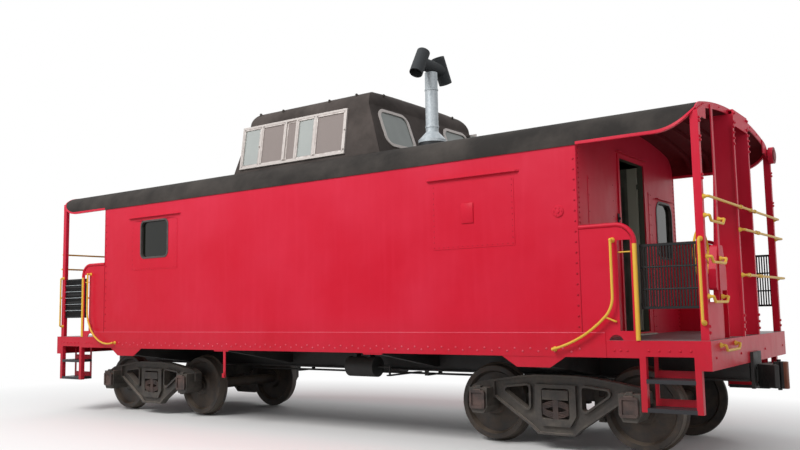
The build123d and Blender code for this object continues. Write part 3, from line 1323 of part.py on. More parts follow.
def brake_beams():
    """A beam across the truck inside each wheelset, hung from the side frames, with a
    shoe at each wheel."""
    x = (BEAM_X, BEAM_X + BEAM_WIDTH)
    beam = block(x, (-SHOE_Y[1], SHOE_Y[1]), (AXLE_Z - BEAM_DEPTH, AXLE_Z))
    ring = Pos(WHEELBASE / 2, 0, AXLE_Z) * Rot(90, 0, 0) * Cylinder(TREAD_RADIUS + SHOE_GAP, 4 * HALF)
    middle = (SHOE_Y[0] + SHOE_Y[1]) / 2
    hanger = (middle - HANGER_BAR / 2, middle + HANGER_BAR / 2)
    frame = SIDE_FRAME_Y - SIDE_FRAME_THICKNESS / 2
    half = block((x[1], x[1] + SHOE_DEPTH), SHOE_Y, SHOE_Z) - ring
    half += block(x, hanger, (AXLE_Z, HANGER_Z))
    half += block(x, (hanger[0], frame), (HANGER_Z, HANGER_Z + HANGER_ARM))
    beam += half
    beam += mirrored(half)
    return beam, turned(beam)


os.makedirs("parts", exist_ok=True)

save("underframe", *underframe())
save("floor", floor_plate())
save("side_near", side_panel())
save("side_far", turned(side_panel()))
front_wall = [end_wall(), *hinge_straps()]
save("end_wall_front", *front_wall)
save("end_wall_rear", *[turned(piece) for piece in front_wall])
save("roof", main_roof())
save("cupola", cupola())
frames = [lookout_frame(), side_window_frame(), end_window_frame()]
panes = [lookout_glass(), side_window_glass(), end_window_glass()]
for y in (-CUPOLA_END_Y, CUPOLA_END_Y):
    frames.append(cupola_gasket(y))
    panes.append(cupola_end_glass(y))
save("window_frames", *frames, *[turned(piece) for piece in frames])
save("window_glass", *panes, *[turned(piece) for piece in panes])
save("door_front", open_door())
save("door_rear", turned(shut_door()))
save("chimney_pipe", chimney_pipe())
save("chimney_cowl", chimney_cowl())
save("air_brake", *air_brake())
save("marker_lamp", marker_lamp())

near_steps = steps()
near_panel = waist_panel()
near_cap = waist_cap()
for end, place, gate_rails in (("front", Rot(0, 0, 0), 2), ("rear", Rot(0, 0, 180), 6)):
    near_gate = gate(gate_rails)
    grabs = handrails(SIDE_GRAB_KNEES[end])
    save(f"roof_end_{end}", place * end_roof())
    save(f"roof_trim_{end}", place * roof_trim())
    save(f"platform_{end}", place * platform())
    save(f"end_posts_{end}", *[place * post for post in end_posts()])
    save(f"steps_{end}", place * near_steps, place * mirrored(near_steps))
    panels = [near_panel, near_cap, mirrored(near_panel), mirrored(near_cap)]
    save(f"waist_panels_{end}", *[place * piece for piece in panels])
    save(f"gates_{end}", place * near_gate, place * mirrored(near_gate))
    save(f"handrails_{end}", *[place * grab for grab in grabs])
    save(f"hand_brake_{end}", *[place * piece for piece in hand_brake()])
    save(f"coupler_{end}", *[place * piece for piece in coupler()])
    centre = Pos(TRUCK_X if end == "front" else -TRUCK_X, 0, 0)
    save(f"side_frames_{end}", centre * side_frame(), centre * mirrored(side_frame()))
    save(f"journal_lids_{end}", *[centre * lid for lid in journal_lids()])
    save(f"truck_bolster_{end}", centre * truck_bolster())
    save(f"springs_{end}", *[centre * stack for stack in springs()])
    save(f"brake_beams_{end}", *[centre * beam for beam in brake_beams()])
    for axle, x in (("outer", WHEELBASE / 2), ("inner", -WHEELBASE / 2)):
        shift = x if end == "front" else -x
        save(f"wheelset_{end}_{axle}", centre * Pos(shift, 0, AXLE_Z) * wheelset())
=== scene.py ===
# %% [markdown]
# A steel cabin car in its last coat of red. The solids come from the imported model, which
# fixes every size and place. This lesson gives them their finishes and adds what is too
# small for the model: rivets, bolts, laps, window sashes, feet of handrails and clamps.
# The frame is loaded first, because everything after it takes its places from there.

# %% Load the frame
from math import cos, pi, radians, sin

import bmesh
import bpy
from mathutils import Matrix, Vector


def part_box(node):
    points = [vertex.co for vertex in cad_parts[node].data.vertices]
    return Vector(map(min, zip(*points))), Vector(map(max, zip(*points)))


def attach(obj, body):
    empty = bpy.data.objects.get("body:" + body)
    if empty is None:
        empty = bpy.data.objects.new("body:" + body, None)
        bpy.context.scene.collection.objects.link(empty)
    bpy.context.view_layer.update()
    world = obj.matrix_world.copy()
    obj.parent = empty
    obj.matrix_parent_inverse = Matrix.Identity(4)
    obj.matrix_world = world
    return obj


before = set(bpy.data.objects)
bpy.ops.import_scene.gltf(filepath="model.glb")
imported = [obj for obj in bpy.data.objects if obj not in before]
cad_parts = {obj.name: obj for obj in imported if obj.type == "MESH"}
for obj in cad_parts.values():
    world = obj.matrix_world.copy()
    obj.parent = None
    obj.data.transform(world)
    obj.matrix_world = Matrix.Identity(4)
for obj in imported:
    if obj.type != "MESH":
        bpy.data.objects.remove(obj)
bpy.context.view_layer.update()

# %% [markdown]
# Places that many pieces share are read from the model's own boxes, or written down once
# where a box doesn't give them. What is true of one end is true of the other turned half
# round, and much of one side is true of the other mirrored, so a detail is made once and
# then set down at each of its places.

# %% Shared places
FORWARD, UP = (1, 0, 0), (0, 0, 1)
OUT_SIDE, OUT_END = (0, -1, 0), (1, 0, 0)

BASE = 0.025  # the lowest point of the wheel treads, above that of their flanges
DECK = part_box("floor")[1].z
EAVE = BASE + 3.1
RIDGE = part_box("roof")[1].z
BODY_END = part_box("floor")[1].x
POST_FACE = 5.105  # the outer face of the corner posts
SILL_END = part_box("platform_front")[1].x
ROOF_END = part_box("roof_trim_front")[1].x
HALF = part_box("platform_front")[1].y
SIDE_FACE = -HALF
POST_Y = 1.4325  # the middle of a corner post
FLANGE_Y = 0.301  # the middle of a collision post's flange

HERE = Matrix.Identity(4)
TURNED = Matrix.Rotation(pi, 4, "Z")
FAR = Matrix.Diagonal((1, -1, 1, 1))
REAR = Matrix.Diagonal((-1, 1, 1, 1))
BOTH_ENDS = (HERE, TURNED)
BOTH_SIDES = (HERE, FAR)
FOUR_CORNERS = (HERE, FAR, REAR, TURNED)
print("body ends at", round(BODY_END, 3), "deck at", round(DECK, 3))

# %% [markdown]
# Paint charts give colours as sRGB hex. A render works in linear light, so one function
# turns a hex value to linear. A second one adds a node with its settings and links, and a
# third starts every finish, with its pattern in metres on the object itself.

# %% Colour and node helpers


def linear(code, alpha=1.0):
    """A linear colour from an sRGB hex value."""
    parts = [int(code[n : n + 2], 16) / 255 for n in (1, 3, 5)]
    return (*[p / 12.92 if p < 0.04045 else ((p + 0.055) / 1.055) ** 2.4 for p in parts], alpha)


def add(tree, kind, sockets=None, **settings):
    """Adds a node, sets its options, and sets or links the inputs that are named."""
    made = tree.nodes.new(kind)
    for name, value in settings.items():
        setattr(made, name, value)
    for name, value in (sockets or {}).items():
        if isinstance(value, bpy.types.NodeSocket):
            tree.links.new(value, made.inputs[name])
        else:
            made.inputs[name].default_value = value
    return made


def new_finish(name, **shader_values):
    """A material with one shader, and the object's own coordinates in metres."""
    finish = bpy.data.materials.new(name)
    finish.use_nodes = True
    tree = finish.node_tree
    tree.nodes.clear()
    shader = add(tree, "ShaderNodeBsdfPrincipled", shader_values)
    add(tree, "ShaderNodeOutputMaterial", {"Surface": shader.outputs["BSDF"]})
    place = add(tree, "ShaderNodeTexCoord").outputs["Object"]
    return finish, tree, shader, place


print("helpers: linear, add, new_finish")

# %% [markdown]
# The body's paint is a brushed gloss enamel over old riveted sheet. In soft light it shows
# three things: slow changes of shade where it has chalked, faint streaks below the roof and
# the hoods, and a dulled, browner band at the foot. The sheet between the rivets isn't
# flat, so the gloss wavers: a slow, broad bump gives that, and a fine one the brush marks.
# The same enamel is used in yellow and black, so one function holds what they share. Two
# more reds paint light and shade: a paler one is a painted highlight on the band's top edge
# and the sill's rivets, and a darker one is painted shade round other rivet heads and along
# the corners.
# A noise's scale is how many of its patches come to a metre: chalk in patches of 1.1 m,
# streaks and specks of dirt 70 mm wide, the sheet's waver 450 mm, and brush marks 14 mm,
# which are really 1 mm, too fine to show here.

# %% Enamel
CHALK, STREAKS, SPECKS, WAVER, BRUSH = 0.9, 1.6, 14.0, 2.2, 70.0
STREAK_SHAPE = (9.0, 9.0, 0.55)
MOST_DIRT = 0.55
BRIGHT_YELLOW = "#E6B53C"


def enamel(name, colour, faded, grime, rough=0.34, ripple=0.004, streak=0.12, shine=0.16):
    """Gloss enamel on steel: chalked patches, streaks, grime at the foot and a bump."""
    finish, tree, shader, place = new_finish(name, **{"Specular IOR Level": shine})
    height = add(tree, "ShaderNodeSeparateXYZ", {"Vector": place}).outputs["Z"]
    cloud = add(tree, "ShaderNodeTexNoise", {"Vector": place, "Scale": CHALK, "Detail": 5.0})
    faint = {"Value": cloud.outputs["Fac"], "From Min": 0.4, "From Max": 0.75, "To Max": 0.35}
    chalk = add(tree, "ShaderNodeMapRange", faint)
    sunned = add(tree, "ShaderNodeMapRange",
                 {"Value": height, "From Min": 2.3, "From Max": 3.3, "To Max": 0.4})
    chalk = add(tree, "ShaderNodeMath", {0: chalk.outputs[0], 1: sunned.outputs[0]},
                operation="ADD")
    stretch = add(tree, "ShaderNodeMapping", {"Vector": place, "Scale": STREAK_SHAPE})
    lines = add(tree, "ShaderNodeTexNoise",
                {"Vector": stretch.outputs[0], "Scale": STREAKS, "Detail": 4.0})
    drip = add(tree, "ShaderNodeMapRange",
               {"Value": lines.outputs["Fac"], "From Min": 0.5, "From Max": 0.8})
    drip = add(tree, "ShaderNodeMath", {0: drip.outputs[0], 1: streak}, operation="MULTIPLY")
    worn = add(tree, "ShaderNodeMath", {0: chalk.outputs[0], 1: drip.outputs[0]}, operation="ADD",
               use_clamp=True)
    shade = add(tree, "ShaderNodeMix", {0: worn.outputs[0], 6: linear(colour), 7: linear(faded)},
                data_type="RGBA")
    low = add(tree, "ShaderNodeMapRange", {"Value": height, "From Min": 1.45, "From Max": 0.6})
    specks = add(tree, "ShaderNodeTexNoise",
                 {"Vector": place, "Scale": SPECKS, "Detail": 8.0, "Roughness": 0.7})
    dirt = add(tree, "ShaderNodeMath", {0: low.outputs[0], 1: specks.outputs["Fac"]},
               operation="MULTIPLY")
    dirt = add(tree, "ShaderNodeMath", {0: dirt.outputs[0], 1: MOST_DIRT}, operation="MULTIPLY")
    body = add(tree, "ShaderNodeMix", {0: dirt.outputs[0], 6: shade.outputs[2], 7: linear(grime)},
               data_type="RGBA")
    tree.links.new(body.outputs[2], shader.inputs["Base Color"])
    dull = add(tree, "ShaderNodeMapRange",
               {"Value": worn.outputs[0], "To Min": rough, "To Max": rough + 0.18})
    tree.links.new(dull.outputs[0], shader.inputs["Roughness"])
    sheet = add(tree, "ShaderNodeTexNoise", {"Vector": place, "Scale": WAVER, "Detail": 2.0})
    brush = add(tree, "ShaderNodeTexNoise", {"Vector": place, "Scale": BRUSH, "Detail": 3.0})
    wave = add(tree, "ShaderNodeBump",
               {"Height": sheet.outputs["Fac"], "Distance": ripple * 8, "Strength": 0.5})
    both = {"Height": brush.outputs["Fac"], "Distance": 0.0006, "Strength": 0.5}
    both["Normal"] = wave.outputs[0]
    tree.links.new(add(tree, "ShaderNodeBump", both).outputs[0], shader.inputs["Normal"])
    return finish


RED = enamel("gloss_red_enamel", "#CB142E", "#DA3852", "#6A3A33")
# A paler red, painted on as a highlight, for the band's top edge and the sill's rivets.
HIGHLIGHT_RED = enamel("gloss_red_enamel_painted_highlight", "#D9445A", "#E68D98", "#7A4A43")
# A darker red, painted on as shade, for rivet heads and the corner beads.
SHADED_RED = enamel("gloss_red_enamel_painted_shade", "#A91026", "#BC2840", "#4E2A26")
YELLOW = enamel("gloss_yellow_enamel", BRIGHT_YELLOW, "#EDC766", "#8C7A4C", rough=0.38,
                ripple=0.0005, shine=0.3)
BLACK = enamel("satin_black_enamel", "#151516", "#222223", "#33312D", rough=0.5, ripple=0.0005,
               shine=0.25)
print("enamels:", RED.name, YELLOW.name, BLACK.name)

# %% [markdown]
# The roof is sheet steel under brushed-on roofing cement: brown-black, matt, never quite
# even, with thin dusty patches and a grain of grit. The cupola is a shade browner. The
# faces that look down have another paint: the cabin's, or over the platforms a red darkened
# well below the body's, which is painted shade under the roof's overhang.
# The dust lies in patches of 600 mm and the cement in lumps of 140 mm; its grit is drawn at
# 11 mm, because the real 2 mm wouldn't show.

# %% Roofing cement
DUST, LUMPS, GRIT = 1.7, 7.0, 90.0
CEMENT, DUSTY_CEMENT = "#2E2B29", "#4A4541"
CABIN_GREEN = "#565D51"


def roof_cement(name, colour, dusty, under, turn=-0.1, edge=0.0):
    """Matt bitumen on steel, with another paint on the faces that look down. Past the
    edge, a distance from the car's middle line, the cement wraps round the sheet."""
    finish, tree, shader, place = new_finish(name, **{"Roughness": 0.85, "Specular IOR Level": 0.2})
    cloud = add(tree, "ShaderNodeTexNoise",
                {"Vector": place, "Scale": DUST, "Detail": 9.0, "Roughness": 0.62})
    patch = add(tree, "ShaderNodeMapRange",
                {"Value": cloud.outputs["Fac"], "From Min": 0.38, "From Max": 0.72})
    top = add(tree, "ShaderNodeMix", {0: patch.outputs[0], 6: linear(colour), 7: linear(dusty)},
              data_type="RGBA")
    facing = add(tree, "ShaderNodeNewGeometry").outputs["Normal"]
    facing = add(tree, "ShaderNodeSeparateXYZ", {"Vector": facing}).outputs["Z"]
    down = add(tree, "ShaderNodeMath", {0: facing, 1: turn}, operation="LESS_THAN").outputs[0]
    if edge:
        across = add(tree, "ShaderNodeSeparateXYZ", {"Vector": place}).outputs["Y"]
        across = add(tree, "ShaderNodeMath", {0: across}, operation="ABSOLUTE").outputs[0]
        within = add(tree, "ShaderNodeMath", {0: across, 1: edge}, operation="LESS_THAN").outputs[0]
        down = add(tree, "ShaderNodeMath", {0: down, 1: within}, operation="MULTIPLY").outputs[0]
    paint = add(tree, "ShaderNodeMix", {0: down, 6: top.outputs[2], 7: linear(under)},
                data_type="RGBA")
    tree.links.new(paint.outputs[2], shader.inputs["Base Color"])
    grit = add(tree, "ShaderNodeTexNoise",
               {"Vector": place, "Scale": GRIT, "Detail": 5.0, "Roughness": 0.7})
    lumps = add(tree, "ShaderNodeTexNoise", {"Vector": place, "Scale": LUMPS, "Detail": 4.0})
    slow = add(tree, "ShaderNodeBump",
               {"Height": lumps.outputs["Fac"], "Distance": 0.012, "Strength": 0.6})
    rough = {"Height": grit.outputs["Fac"], "Distance": 0.002, "Strength": 0.7,
             "Normal": slow.outputs[0]}
    tree.links.new(add(tree, "ShaderNodeBump", rough).outputs[0], shader.inputs["Normal"])
    return finish


CABIN_ROOF = roof_cement("brushed_roofing_cement", CEMENT, DUSTY_CEMENT, CABIN_GREEN)
# The soffit over the platforms is the body's red painted much darker: painted shade.
PORCH_ROOF = roof_cement("brushed_roofing_cement_painted_shade_soffit", CEMENT, DUSTY_CEMENT, "#5E1017",
                         turn=0.2, edge=1.5)
CUPOLA_SKIN = roof_cement("brushed_roofing_cement_brown", "#3E3835", "#5A524E", "#3A3733")
print("roof finishes:", CABIN_ROOF.name, PORCH_ROOF.name, CUPOLA_SKIN.name)

# %% [markdown]
# The trucks are rough sand castings that have never been washed: grey-brown, paler on the
# faces that look up, and with patches that are dark with oil. The oil lies in patches of
# 170 mm; the grain that the sand leaves is drawn at 18 mm, ten times the real one, or it
# wouldn't show. Journal boxes and springs are rustier, and the underfloor is black with
# soot.

# %% Cast steel
OIL, SAND = 6.0, 55.0


def grimy_casting(name, colour, facing_up_colour, oily, rough=0.74):
    """Sand-cast steel, paler on the faces that look up, with darker patches."""
    finish, tree, shader, place = new_finish(name)
    cloud = add(tree, "ShaderNodeTexNoise",
                {"Vector": place, "Scale": OIL, "Detail": 9.0, "Roughness": 0.65})
    patch = add(tree, "ShaderNodeMapRange",
                {"Value": cloud.outputs["Fac"], "From Min": 0.4, "From Max": 0.65})
    base = add(tree, "ShaderNodeMix", {0: patch.outputs[0], 6: linear(oily), 7: linear(colour)},
               data_type="RGBA")
    facing = add(tree, "ShaderNodeNewGeometry").outputs["Normal"]
    facing = add(tree, "ShaderNodeSeparateXYZ", {"Vector": facing}).outputs["Z"]
    # Faces that look up are made paler.
    up = add(tree, "ShaderNodeMapRange",
             {"Value": facing, "From Min": 0.1, "From Max": 0.9, "To Max": 0.75})
    paint = add(tree, "ShaderNodeMix", {0: up.outputs[0], 6: base.outputs[2], 7: linear(facing_up_colour)},
                data_type="RGBA")
    tree.links.new(paint.outputs[2], shader.inputs["Base Color"])
    dull = add(tree, "ShaderNodeMapRange",
               {"Value": patch.outputs[0], "To Min": rough - 0.2, "To Max": rough})
    tree.links.new(dull.outputs[0], shader.inputs["Roughness"])
    sand = add(tree, "ShaderNodeTexNoise",
               {"Vector": place, "Scale": SAND, "Detail": 7.0, "Roughness": 0.7})
    skin = {"Height": sand.outputs["Fac"], "Distance": 0.004, "Strength": 0.8}
    tree.links.new(add(tree, "ShaderNodeBump", skin).outputs[0], shader.inputs["Normal"])
    return finish


CASTING = grimy_casting("sand_cast_steel", "#5A544D", "#A79C91", "#35312E")
UNDERSIDE = grimy_casting("sooty_black_steel", "#2A2827", "#4C4742", "#161514")
RUSTY = grimy_casting("rusty_cast_steel", "#5E4B45", "#7C6B61", "#2C2321")
print("cast steels:", CASTING.name, UNDERSIDE.name, RUSTY.name)

# %% [markdown]
# A wheel is rolled steel, rust-brown on its plate. Where it runs, the tread is rubbed bare:
# that is the round face between two distances from the car's middle line, so the finish
# asks both where a place is and which way it faces.

# %% Rolled wheels
TREAD_Y = (0.712, 0.812)


def rolled_wheel(name):
    """A wheel with a rusty plate, and a tread that rolling has rubbed bare."""
    finish = grimy_casting(name, "#4A3F36", "#6E6154", "#241F1C")
    tree = finish.node_tree
    shader = next(n for n in tree.nodes if n.type == "BSDF_PRINCIPLED")
    source = shader.inputs["Base Color"].links[0].from_socket
    place = add(tree, "ShaderNodeTexCoord").outputs["Object"]
    width = add(tree, "ShaderNodeSeparateXYZ", {"Vector": place}).outputs["Y"]
    facing = add(tree, "ShaderNodeNewGeometry").outputs["Normal"]
    side = add(tree, "ShaderNodeSeparateXYZ", {"Vector": facing}).outputs["Y"]
    side = add(tree, "ShaderNodeMath", {0: side}, operation="ABSOLUTE")
    round_face = add(tree, "ShaderNodeMath", {0: side.outputs[0], 1: 0.25}, operation="LESS_THAN")
    across = add(tree, "ShaderNodeMath", {0: width}, operation="ABSOLUTE")
    near = {0: across.outputs[0], 1: sum(TREAD_Y) / 2, 2: (TREAD_Y[1] - TREAD_Y[0]) / 2}
    band = add(tree, "ShaderNodeMath", near, operation="COMPARE")
    tread = add(tree, "ShaderNodeMath", {0: band.outputs[0], 1: round_face.outputs[0]},
                operation="MULTIPLY")
    bright = add(tree, "ShaderNodeMix", {0: tread.outputs[0], 6: source, 7: linear("#5C544C")},
                 data_type="RGBA")
    tree.links.new(bright.outputs[2], shader.inputs["Base Color"])
    return finish


WHEEL_STEEL = rolled_wheel("rolled_wheel_steel")
print("wheels:", WHEEL_STEEL.name)

# %% [markdown]
# Small finishes: galvanised pipe has a pale blue-grey spangle, mill aluminium is soft and
# cloudy, the flue's heat-proof paint is dull black, deck paint is dark grey worn lighter,
# and the doors have an old grey-green enamel. Each is two near shades in patches, so one
# function makes them all, and the size of the patches tells them apart.

# %% Metals, deck paint and door paint
HEAT_BLACK = "#1F2123"


def mottled(name, colour, other, size, metallic, rough, bump=0.0008):
    """A plain finish with two shades in patches of a real size in metres."""
    finish, tree, shader, place = new_finish(name, **{"Metallic": metallic})
    grain = add(tree, "ShaderNodeTexNoise",
                {"Vector": place, "Scale": 1 / size, "Detail": 6.0, "Roughness": 0.6})
    spread = add(tree, "ShaderNodeMapRange",
                 {"Value": grain.outputs["Fac"], "From Min": 0.36, "From Max": 0.66})
    paint = add(tree, "ShaderNodeMix", {0: spread.outputs[0], 6: linear(colour), 7: linear(other)},
                data_type="RGBA")
    tree.links.new(paint.outputs[2], shader.inputs["Base Color"])
    dull = add(tree, "ShaderNodeMapRange",
               {"Value": spread.outputs[0], "To Min": rough, "To Max": rough + 0.14})
    tree.links.new(dull.outputs[0], shader.inputs["Roughness"])
    skin = {"Height": grain.outputs["Fac"], "Distance": bump, "Strength": 0.6}
    tree.links.new(add(tree, "ShaderNodeBump", skin).outputs[0], shader.inputs["Normal"])
    return finish


ZINC = mottled("galvanised_steel", "#A9B1B6", "#C3C9CC", 0.03, 0.3, 0.42)
ALUMINIUM = mottled("mill_finish_aluminium", "#B3A9A4", "#CFC8C3", 0.06, 0.3, 0.4)
FLUE_BLACK = mottled("heat_proof_black", HEAT_BLACK, "#2E3235", 0.04, 0.0, 0.7)
DECK_PAINT = mottled("worn_deck_paint", "#3E3A3B", "#5E5757", 0.25, 0.0, 0.7, 0.002)
DOOR_PAINT = mottled("old_grey_green_enamel", "#4C5148", "#6B7065", 0.3, 0.0, 0.42)
print("small finishes:", ZINC.name, ALUMINIUM.name, FLUE_BLACK.name, DECK_PAINT.name)

# %% [markdown]
# Old window glass: thin, half clear. The panes of the walls are tinted and look dark,
# because the cabin behind them is. Those of the cupola lean back and face the sky, so they
# have a pale film: dust, painted pale as a reflection of the sky. All the model's panes are
# one node, so the height of a place chooses between the two. The film is cloudy, in
# patches of 450 mm.

# %% Glass
FILM = 2.2


def glass_with_painted_sky(name, dark, pale, above):
    """Tinted glass, with a pale film above a height: dust, painted pale as the sky's reflection."""
    finish, tree, shader, place = new_finish(name, **{"Roughness": 0.06, "Specular IOR Level": 0.3})
    haze = add(tree, "ShaderNodeTexNoise", {"Vector": place, "Scale": FILM, "Detail": 5.0})
    height = add(tree, "ShaderNodeSeparateXYZ", {"Vector": place}).outputs["Z"]
    high = add(tree, "ShaderNodeMath", {0: height, 1: above}, operation="GREATER_THAN").outputs[0]
    cloudy = {"Value": haze.outputs["Fac"], "From Min": 0.3, "From Max": 0.7, "To Min": 0.8}
    film = add(tree, "ShaderNodeMapRange", cloudy).outputs[0]
    film = add(tree, "ShaderNodeMath", {0: high, 1: film}, operation="MULTIPLY").outputs[0]
    clear = add(tree, "ShaderNodeMapRange",
                {"Value": film, "To Min": 0.3, "To Max": 0.15}).outputs[0]
    tree.links.new(clear, shader.inputs["Transmission Weight"])
    tint = add(tree, "ShaderNodeMix", {0: film, 6: linear(dark), 7: linear(pale)}, data_type="RGBA")
    tree.links.new(tint.outputs[2], shader.inputs["Base Color"])
    return finish


# The pale film of the high panes is a painted reflection of the sky on dust.
PANE = glass_with_painted_sky("old_window_glass", "#12160F", "#9CA29E", above=3.4)
print("glass:", PANE.name)

# %% [markdown]
# A fly screen is woven wire. Two sine waves at right angles give the wires, and the higher
# of the two is what shows. The real mesh is 1.5 mm, too fine to show here, so the weave is
# drawn at 8 mm. Dust dulls it in patches of 250 mm.

# %% Fly screen
WEAVE = 0.008
SCREEN_DUST = 4.0


def fly_screen(name):
    """Woven wire, grey and a little dusty."""
    finish, tree, shader, place = new_finish(name, **{"Roughness": 0.8})
    mesh = 2 * pi / WEAVE
    axes = add(tree, "ShaderNodeSeparateXYZ", {"Vector": place})
    weave = None
    for axis in ("X", "Z"):
        turns = add(tree, "ShaderNodeMath", {0: axes.outputs[axis], 1: mesh}, operation="MULTIPLY")
        wave = add(tree, "ShaderNodeMath", {0: turns.outputs[0]}, operation="SINE")
        if weave:
            wave = add(tree, "ShaderNodeMath", {0: weave, 1: wave.outputs[0]}, operation="MAXIMUM")
        weave = wave.outputs[0]
    wire = add(tree, "ShaderNodeMapRange", {"Value": weave, "From Min": 0.2, "From Max": 0.9})
    cloud = add(tree, "ShaderNodeTexNoise", {"Vector": place, "Scale": SCREEN_DUST, "Detail": 3.0})
    paint = add(tree, "ShaderNodeMix",
                {0: wire.outputs[0], 6: linear("#7C716D"), 7: linear("#9A908B")},
                data_type="RGBA")
    dim = {0: cloud.outputs["Fac"], 6: paint.outputs[2], 7: linear("#8B807C")}
    shade = add(tree, "ShaderNodeMix", dim, data_type="RGBA")
    tree.links.new(shade.outputs[2], shader.inputs["Base Color"])
    relief = {"Height": wire.outputs[0], "Distance": 0.001, "Strength": 0.6}
    tree.links.new(add(tree, "ShaderNodeBump", relief).outputs[0], shader.inputs["Normal"])
    return finish


SCREEN = fly_screen("woven_fly_screen")
print("screen:", SCREEN.name)

# %% [markdown]
# Some nodes of the model carry more than one finish. The hand brake has a yellow wheel and
# a red gear case, the steps have bare grey treads, and the lamp has a dark lens. Such a
# finish is a copy of another with some zones painted over, each given by where it lies.

# %% Several finishes on one node


def zoned(name, first, *zones):
    """A copy of a finish with other paints in some zones. A zone is a colour and, for one
    or more axes, the lowest and the highest place. An axis written |X| counts both ways."""
    finish = first.copy()
    finish.name = name
    tree = finish.node_tree
    shader = next(n for n in tree.nodes if n.type == "BSDF_PRINCIPLED")
    place = add(tree, "ShaderNodeTexCoord").outputs["Object"]
    axes = add(tree, "ShaderNodeSeparateXYZ", {"Vector": place})
    for paint, ranges in zones:
        inside = 1.0
        for axis, (low, high) in ranges.items():
            value = axes.outputs[axis.strip("|")]
            if axis.startswith("|"):
                value = add(tree, "ShaderNodeMath", {0: value}, operation="ABSOLUTE").outputs[0]
            near = {0: value, 1: (low + high) / 2, 2: (high - low) / 2}
            test = add(tree, "ShaderNodeMath", near, operation="COMPARE").outputs[0]
            both = {0: test, 1: inside}
            inside = add(tree, "ShaderNodeMath", both, operation="MULTIPLY").outputs[0]
        source = shader.inputs["Base Color"].links[0].from_socket
        mixed = {0: inside, 6: source, 7: linear(paint)}
        mixed = add(tree, "ShaderNodeMix", mixed, data_type="RGBA")
        tree.links.new(mixed.outputs[2], shader.inputs["Base Color"])
    return finish


print("helper: zoned")

# %% [markdown]
# The zones are read off the model: the cabin is all that lies inside the walls' outer faces,
# a tread is the thin top of a step, the lens is what stands out of the lamp's case, the
# lit stile is the door's edge beside its doorway, painted pale as the daylight falling on it.
# A zone ends in the air between two forms, or at an edge, so that no line of paint runs
# across a face where the real car has none.

# %% Finishes with zones
WINDOW_BAR = mottled("bronze_brown_enamel_on_aluminium", "#3F3A39", "#57504D", 0.08, 0.2, 0.45)

CABIN = {"|X|": (0, BODY_END - 0.002), "|Y|": (0, HALF - 0.015), "Z": (DECK - 0.02, 6.0)}
HAND_WHEEL = {"|X|": (4.0, 5.008)}
LOOKOUT_BARS = {"Z": (3.2, 5.0)}
CHIMNEY_FOOT = {"Z": (3.0, 3.505)}
LENS = {"X": (POST_FACE + 0.054, 6.0)}
KNUCKLE = {"|X|": (5.405, 6.0)}
TREAD_SPAN = (4.52, 4.98)
HIGH_TREAD = {"|X|": TREAD_SPAN, "Z": (BASE + 0.751, BASE + 0.791)}
LOW_TREAD = {"|X|": TREAD_SPAN, "Z": (BASE + 0.486, BASE + 0.526)}
WORN_DECK = {"Z": (DECK - 0.001, DECK + 0.001)}
THRESHOLD = {"|X|": (BODY_END, 4.01), "|Y|": (0, 0.4), "Z": (DECK + 0.002, DECK + 0.02)}
LIT_STILE = {"X": (3.715, 3.84)}

RED_WALL = zoned("gloss_red_enamel_cabin_green", RED, (CABIN_GREEN, CABIN))
BRAKE_PAINT = zoned("gloss_red_and_yellow_enamel", RED, (BRIGHT_YELLOW, HAND_WHEEL))
FRAME_METAL = zoned("bronze_and_mill_aluminium", WINDOW_BAR, ("#C0B8B3", LOOKOUT_BARS))
CHIMNEY_METAL = zoned("galvanised_steel_black_foot", ZINC, (HEAT_BLACK, CHIMNEY_FOOT))
LAMP_PAINT = zoned("gloss_red_enamel_dark_lens", RED, ("#7E1219", LENS))
COUPLER_STEEL = zoned("cast_steel_rusty_knuckle", UNDERSIDE, ("#6E3A24", KNUCKLE))
TREAD_GREY = "#38383B"
STEP_PAINT = zoned("gloss_red_enamel_grey_treads", RED, (TREAD_GREY, HIGH_TREAD),
                   (TREAD_GREY, LOW_TREAD))
PLATFORM_PAINT = zoned("gloss_red_enamel_worn_deck", RED, ("#75696B", WORN_DECK),
                       ("#A8AC9C", THRESHOLD))
# The pale stile is painted light: the daylight that reaches the door's edge.
DOOR_LEAF = zoned("old_enamel_with_painted_light_stile", DOOR_PAINT, ("#A9AE9D", LIT_STILE))
print("finishes so far:", len(bpy.data.materials))

# %% [markdown]
# Every node of the model now gets one of the finishes. Nodes that match at the two ends, or
# on the two sides, start with the same word, so the table lists those starts, the longer
# ones first, and the first that fits is taken.

# %% Give each node its finish
FINISHES = (
    (("side_near", "side_far", "end_wall"), RED_WALL),
    (("end_posts", "waist_panels", "roof_trim"), RED),
    (("platform",), PLATFORM_PAINT),
    (("steps",), STEP_PAINT),
    (("handrails",), YELLOW),
    (("hand_brake",), BRAKE_PAINT),
    (("gates",), BLACK),
    (("roof_end",), PORCH_ROOF),
    (("roof",), CABIN_ROOF),
    (("cupola",), CUPOLA_SKIN),
    (("window_frames",), FRAME_METAL),
    (("window_glass",), PANE),
    (("door",), DOOR_LEAF),
    (("floor",), DECK_PAINT),
    (("chimney_pipe",), CHIMNEY_METAL),
    (("chimney_cowl",), FLUE_BLACK),
    (("marker",), LAMP_PAINT),
    (("wheelset",), WHEEL_STEEL),
    (("coupler",), COUPLER_STEEL),
    (("journal", "springs"), RUSTY),
    (("side_frames", "truck_bolster", "brake_beams"), CASTING),
    (("underframe", "air_brake"), UNDERSIDE),
)
for name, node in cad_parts.items():
    chosen = next(finish for starts, finish in FINISHES if name.startswith(starts))
    node.data.materials.clear()
    node.data.materials.append(chosen)
print("finishes given to", len(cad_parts), "nodes")

# %% [markdown]
# Small pieces are built with bmesh, Blender's editable mesh, in a few shapes. Two of them do
# for most: a box with softened edges, for plates and straps, and a round bar that follows
# points, for beads and rods. No real edge is perfectly sharp, and a softened one catches
# the light. An edge joins two corners, so a list of the corners' edges names each one
# twice, and a dict of them drops the second.

# %% Boxes and bars


